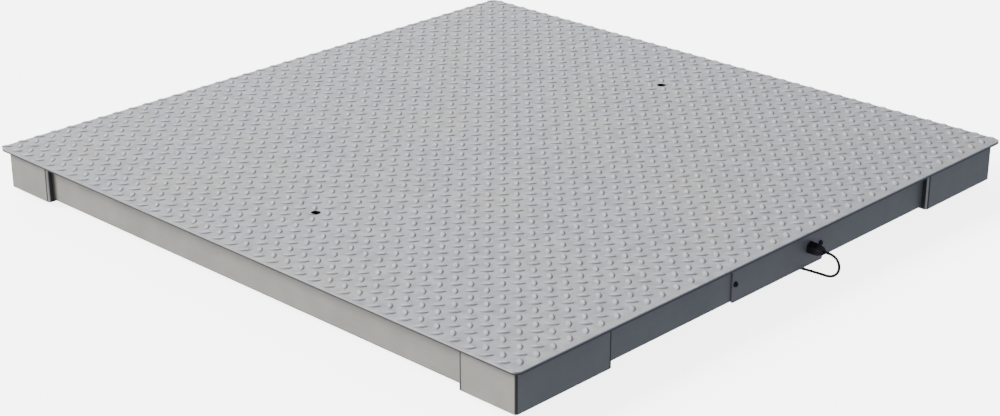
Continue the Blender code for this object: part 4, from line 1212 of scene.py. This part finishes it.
class PLATFORM_OT_welds(bpy.types.Operator):
    """Lays the weld beads between the blocks, rails, ribs and bushes"""

    bl_idname = "platform.welds"
    bl_label = "Welds"

    def execute(self, context):
        sizes = context.scene.platform_weld
        looks = lay_finishes(context.scene.platform_finish)
        bottom, top = FRONT_LOW.z + WELD_START, FRONT_HIGH.z - WELD_STOP
        upright = bmesh.new()
        face_y, end_x = -FRONT_LOW.y, FRONT_HIGH.x
        face_x, end_y = -LEFT_LOW.x, LEFT_HIGH.y
        for sx in (-1, 1):
            for sy in (-1, 1):
                for x, y in ((end_x, face_y), (face_x, end_y)):
                    added(upright, self.bead(sizes, (sx * x, sy * y, bottom), UP, top - bottom))
        piece("frame_corner_welds", upright, looks["weld"], sharp=60)
        stitches = bmesh.new()
        under = DECK_LOW.z - STITCH_DROP
        for number in range(1, 5):
            low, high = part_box(f"deck_rib_{number}")
            web = low.x if low.x + high.x < 0 else high.x
            for y in RIB_STITCHES:
                start = (web, y - sizes.stitch / 2, under)
                added(stitches, self.bead(sizes, start, ALONG_Y, sizes.stitch))
        flange = -FRONT_HIGH.y
        for x in RAIL_STITCHES:
            for sy in (-1, 1):
                start = (x - sizes.stitch / 2, sy * flange, under)
                added(stitches, self.bead(sizes, start, ALONG_X, sizes.stitch))
        for side in ("left", "right"):
            low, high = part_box(f"lifting_bush_{side}")
            centre = middle(f"lifting_bush_{side}")
            bush = (high.x - low.x) / 2
            ring = [(r + bush, z) for r, z in arc((0, 0), sizes.bead_radius, 0, 315, 7)]
            added(stitches, placed(turned(ring, 40, closed=True), (centre.x, centre.y, under)))
        piece("deck_stitch_welds", stitches, looks["weld"], sharp=60)
        return {"FINISHED"}

    def bead(self, sizes, start, direction, length):
        """A rippled bead along a line."""
        count = max(2, round(length / sizes.ripple))
        step = length / count
        outline = [(0, 0)]
        for i in range(count):
            outline += [
                (sizes.bead_radius * 0.80, step * (i + 0.05)),
                (sizes.bead_radius, step * (i + 0.55)),
            ]
        outline.append((0, length))
        return placed(turned(outline, 8), start, direction)


class PLATFORM_OT_lead_clips(bpy.types.Operator):
    """Makes the saddle clips that hold the load cell leads in the rails"""

    bl_idname = "platform.lead_clips"
    bl_label = "Lead clips"

    def execute(self, context):
        looks = lay_finishes(context.scene.platform_finish)
        rail_floor = FRONT_LOW.z + RAIL_SHEET
        lead_y = -FRONT_LOW.y - LEAD_INSET
        lead_z = rail_floor + LEAD_RISE
        bm = bmesh.new()
        for sy in (-1, 1):
            for x in CLIP_PLACES:
                self.clip(bm, (x, sy * lead_y, lead_z), rail_floor)
        piece("lead_clips", bm, looks["tie_nylon"])
        return {"FINISHED"}

    def clip(self, bm, centre, floor):
        """A strap over a lead and the two feet that it stands on."""
        half = CLIP_HALF_WIDTH
        strap = bmesh.new()
        outline = ((-half, CLIP_INNER), (half, CLIP_INNER), (half, CLIP_OUTER), (-half, CLIP_OUTER))
        profile = strap.faces.new([strap.verts.new((dx, -r, 0)) for dx, r in outline])
        bmesh.ops.spin(
            strap, geom=[profile], cent=(0, 0, 0), axis=(1, 0, 0), angle=-math.pi, steps=12
        )
        bmesh.ops.translate(strap, vec=centre, verts=strap.verts)
        added(bm, outward(strap))
        for side in (-1, 1):
            near, far = sorted((centre[1] + side * CLIP_INNER, centre[1] + side * CLIP_FOOT))
            low = (centre[0] - half, near, floor + 0.0001)
            high = (centre[0] + half, far, centre[2] + 0.0002)
            added(bm, slab(low, high, 0.0004))


def shared_rounding():
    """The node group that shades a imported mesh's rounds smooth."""
    group = bpy.data.node_groups.new("smooth_rounds", "GeometryNodeTree")
    group.interface.new_socket("Geometry", in_out="INPUT", socket_type="NodeSocketGeometry")
    group.interface.new_socket("Geometry", in_out="OUTPUT", socket_type="NodeSocketGeometry")
    nodes, links = group.nodes, group.links
    given = nodes.new("NodeGroupInput")
    result = nodes.new("NodeGroupOutput")
    angle = nodes.new("GeometryNodeInputMeshEdgeAngle")
    sharp = nodes.new("FunctionNodeCompare")
    sharp.data_type = "FLOAT"
    sharp.operation = "GREATER_THAN"
    sharp.inputs[1].default_value = math.radians(34)
    edges = nodes.new("GeometryNodeSetShadeSmooth")
    edges.domain = "EDGE"
    edges.inputs["Shade Smooth"].default_value = False
    faces = nodes.new("GeometryNodeSetShadeSmooth")
    faces.domain = "FACE"
    faces.inputs["Shade Smooth"].default_value = True
    links.new(angle.outputs["Unsigned Angle"], sharp.inputs[0])
    links.new(given.outputs[0], edges.inputs["Geometry"])
    links.new(sharp.outputs[0], edges.inputs["Selection"])
    links.new(edges.outputs[0], faces.inputs["Geometry"])
    links.new(faces.outputs[0], result.inputs[0])
    return group


class PLATFORM_OT_finishes(bpy.types.Operator):
    """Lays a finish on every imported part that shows, and breaks its sharp edges"""

    bl_idname = "platform.finishes"
    bl_label = "Finishes"

    def execute(self, context):
        looks = lay_finishes(context.scene.platform_finish)
        rounds = shared_rounding()
        breaks = {
            "frame_steel": 0.8 * MM,
            "block_steel": 0.8 * MM,
            "cover_steel": 0.5 * MM,
            "zinc_steel": 0.4 * MM,
            "pad_steel": 0.3 * MM,
            "gland_plastic": 0.4 * MM,
            "box_plastic": 0.5 * MM,
        }
        for name, part in sorted(frame["nodes"].items()):
            if part.hide_render:
                continue
            given = part.data.materials[0].name.split(".")[0]
            if given not in looks:
                raise RuntimeError(f"{name} has no finish for {given}")
            # The bushes take blackened steel in place of their own finish, dark as painted shade inside
            # the lifting holes.
            bush = name.startswith("lifting_bush")
            part.material_slots[0].material = looks["blackened" if bush else given]
            weld = part.modifiers.new("weld", "WELD")
            weld.merge_threshold = 0.01 * MM
            if given in breaks:
                edge = part.modifiers.new("edge", "BEVEL")
                edge.width = breaks[given]
                edge.segments = 2
                edge.limit_method = "ANGLE"
                edge.angle_limit = math.radians(50)
                edge.use_clamp_overlap = True
            smooth = part.modifiers.new("smooth", "NODES")
            smooth.node_group = rounds
            even = part.modifiers.new("even", "WEIGHTED_NORMAL")
            even.mode = "FACE_AREA"
            even.weight = 100
            even.keep_sharp = True
        return {"FINISHED"}


class PLATFORM_OT_stage(bpy.types.Operator):
    """Makes the floor, the lights and the even light all round"""

    bl_idname = "platform.stage"
    bl_label = "Floor and lights"

    def execute(self, context):
        look = context.scene.platform_stage
        bm = bmesh.new()
        bmesh.ops.create_circle(bm, cap_ends=True, radius=FLOOR_RADIUS, segments=64)
        mesh = bpy.data.meshes.new("floor")
        bm.to_mesh(mesh)
        bm.free()
        mesh.materials.append(floor_finish(look.floor))
        floor = bpy.data.objects.new("floor", mesh)
        floor.visible_diffuse = False
        floor.visible_glossy = False
        context.scene.collection.objects.link(floor)
        lights = (
            ("key_light", look.key, 24.0, (-0.580, 0.610, 0.540), (1.0, 0.985, 0.960)),
            ("side_light", look.side, 50.0, (-0.930, 0.300, 0.210), (1.0, 0.940, 0.760)),
            ("back_light", look.back, 45.0, (0.480, 0.660, 0.580), (0.97, 0.985, 1.0)),
        )
        for name, strength, spread, towards, tone in lights:
            data = bpy.data.lights.new(name, "SUN")
            data.energy = strength
            data.angle = math.radians(spread)
            data.color = tone
            light = bpy.data.objects.new(name, data)
            light.rotation_euler = Vector(towards).to_track_quat("Z", "Y").to_euler()
            context.scene.collection.objects.link(light)
        world = bpy.data.worlds.new("studio")
        world.use_nodes = True
        background = world.node_tree.nodes["Background"]
        background.inputs["Color"].default_value = (*WORLD_TONE, 1)
        background.inputs["Strength"].default_value = look.fill
        context.scene.world = world
        return {"FINISHED"}


class PLATFORM_PT_tools(bpy.types.Panel):
    """Lists the tools in the order in which they are used"""

    bl_idname = "PLATFORM_PT_tools"
    bl_label = "Weighing platform"
    bl_space_type = "VIEW_3D"
    bl_region_type = "UI"
    bl_category = "Platform"

    def draw(self, context):
        for tool in TOOLS:
            self.layout.operator(tool.bl_idname)
        for group in SETTINGS:
            settings = getattr(context.scene, group)
            box = self.layout.box()
            for name in settings.__annotations__:
                box.prop(settings, name)


SETTINGS = {
    "platform_plate": PlateSizes,
    "platform_cable": CableSizes,
    "platform_weld": WeldSizes,
    "platform_finish": FinishColours,
    "platform_stage": StageLook,
}
TOOLS = (
    PLATFORM_OT_camera,
    PLATFORM_OT_cable,
    PLATFORM_OT_stage,
    PLATFORM_OT_tread_plate,
    PLATFORM_OT_cover_screws,
    PLATFORM_OT_feet,
    PLATFORM_OT_welds,
    PLATFORM_OT_lead_clips,
    PLATFORM_OT_finishes,
)
CLASSES = (*SETTINGS.values(), *TOOLS, PLATFORM_PT_tools)


def register():
    for cls in CLASSES:
        bpy.utils.register_class(cls)
    for name, group in SETTINGS.items():
        setattr(bpy.types.Scene, name, PointerProperty(type=group))


def unregister():
    for name in SETTINGS:
        delattr(bpy.types.Scene, name)
    for cls in reversed(CLASSES):
        bpy.utils.unregister_class(cls)


def main():
    """Makes every piece in order."""
    register()
    bpy.ops.platform.camera()
    bpy.ops.platform.cable()
    bpy.ops.platform.stage()
    bpy.ops.platform.tread_plate()
    bpy.ops.platform.cover_screws()
    bpy.ops.platform.feet()
    bpy.ops.platform.welds()
    bpy.ops.platform.lead_clips()
    bpy.ops.platform.finishes()


if __name__ == "__main__":
    main()
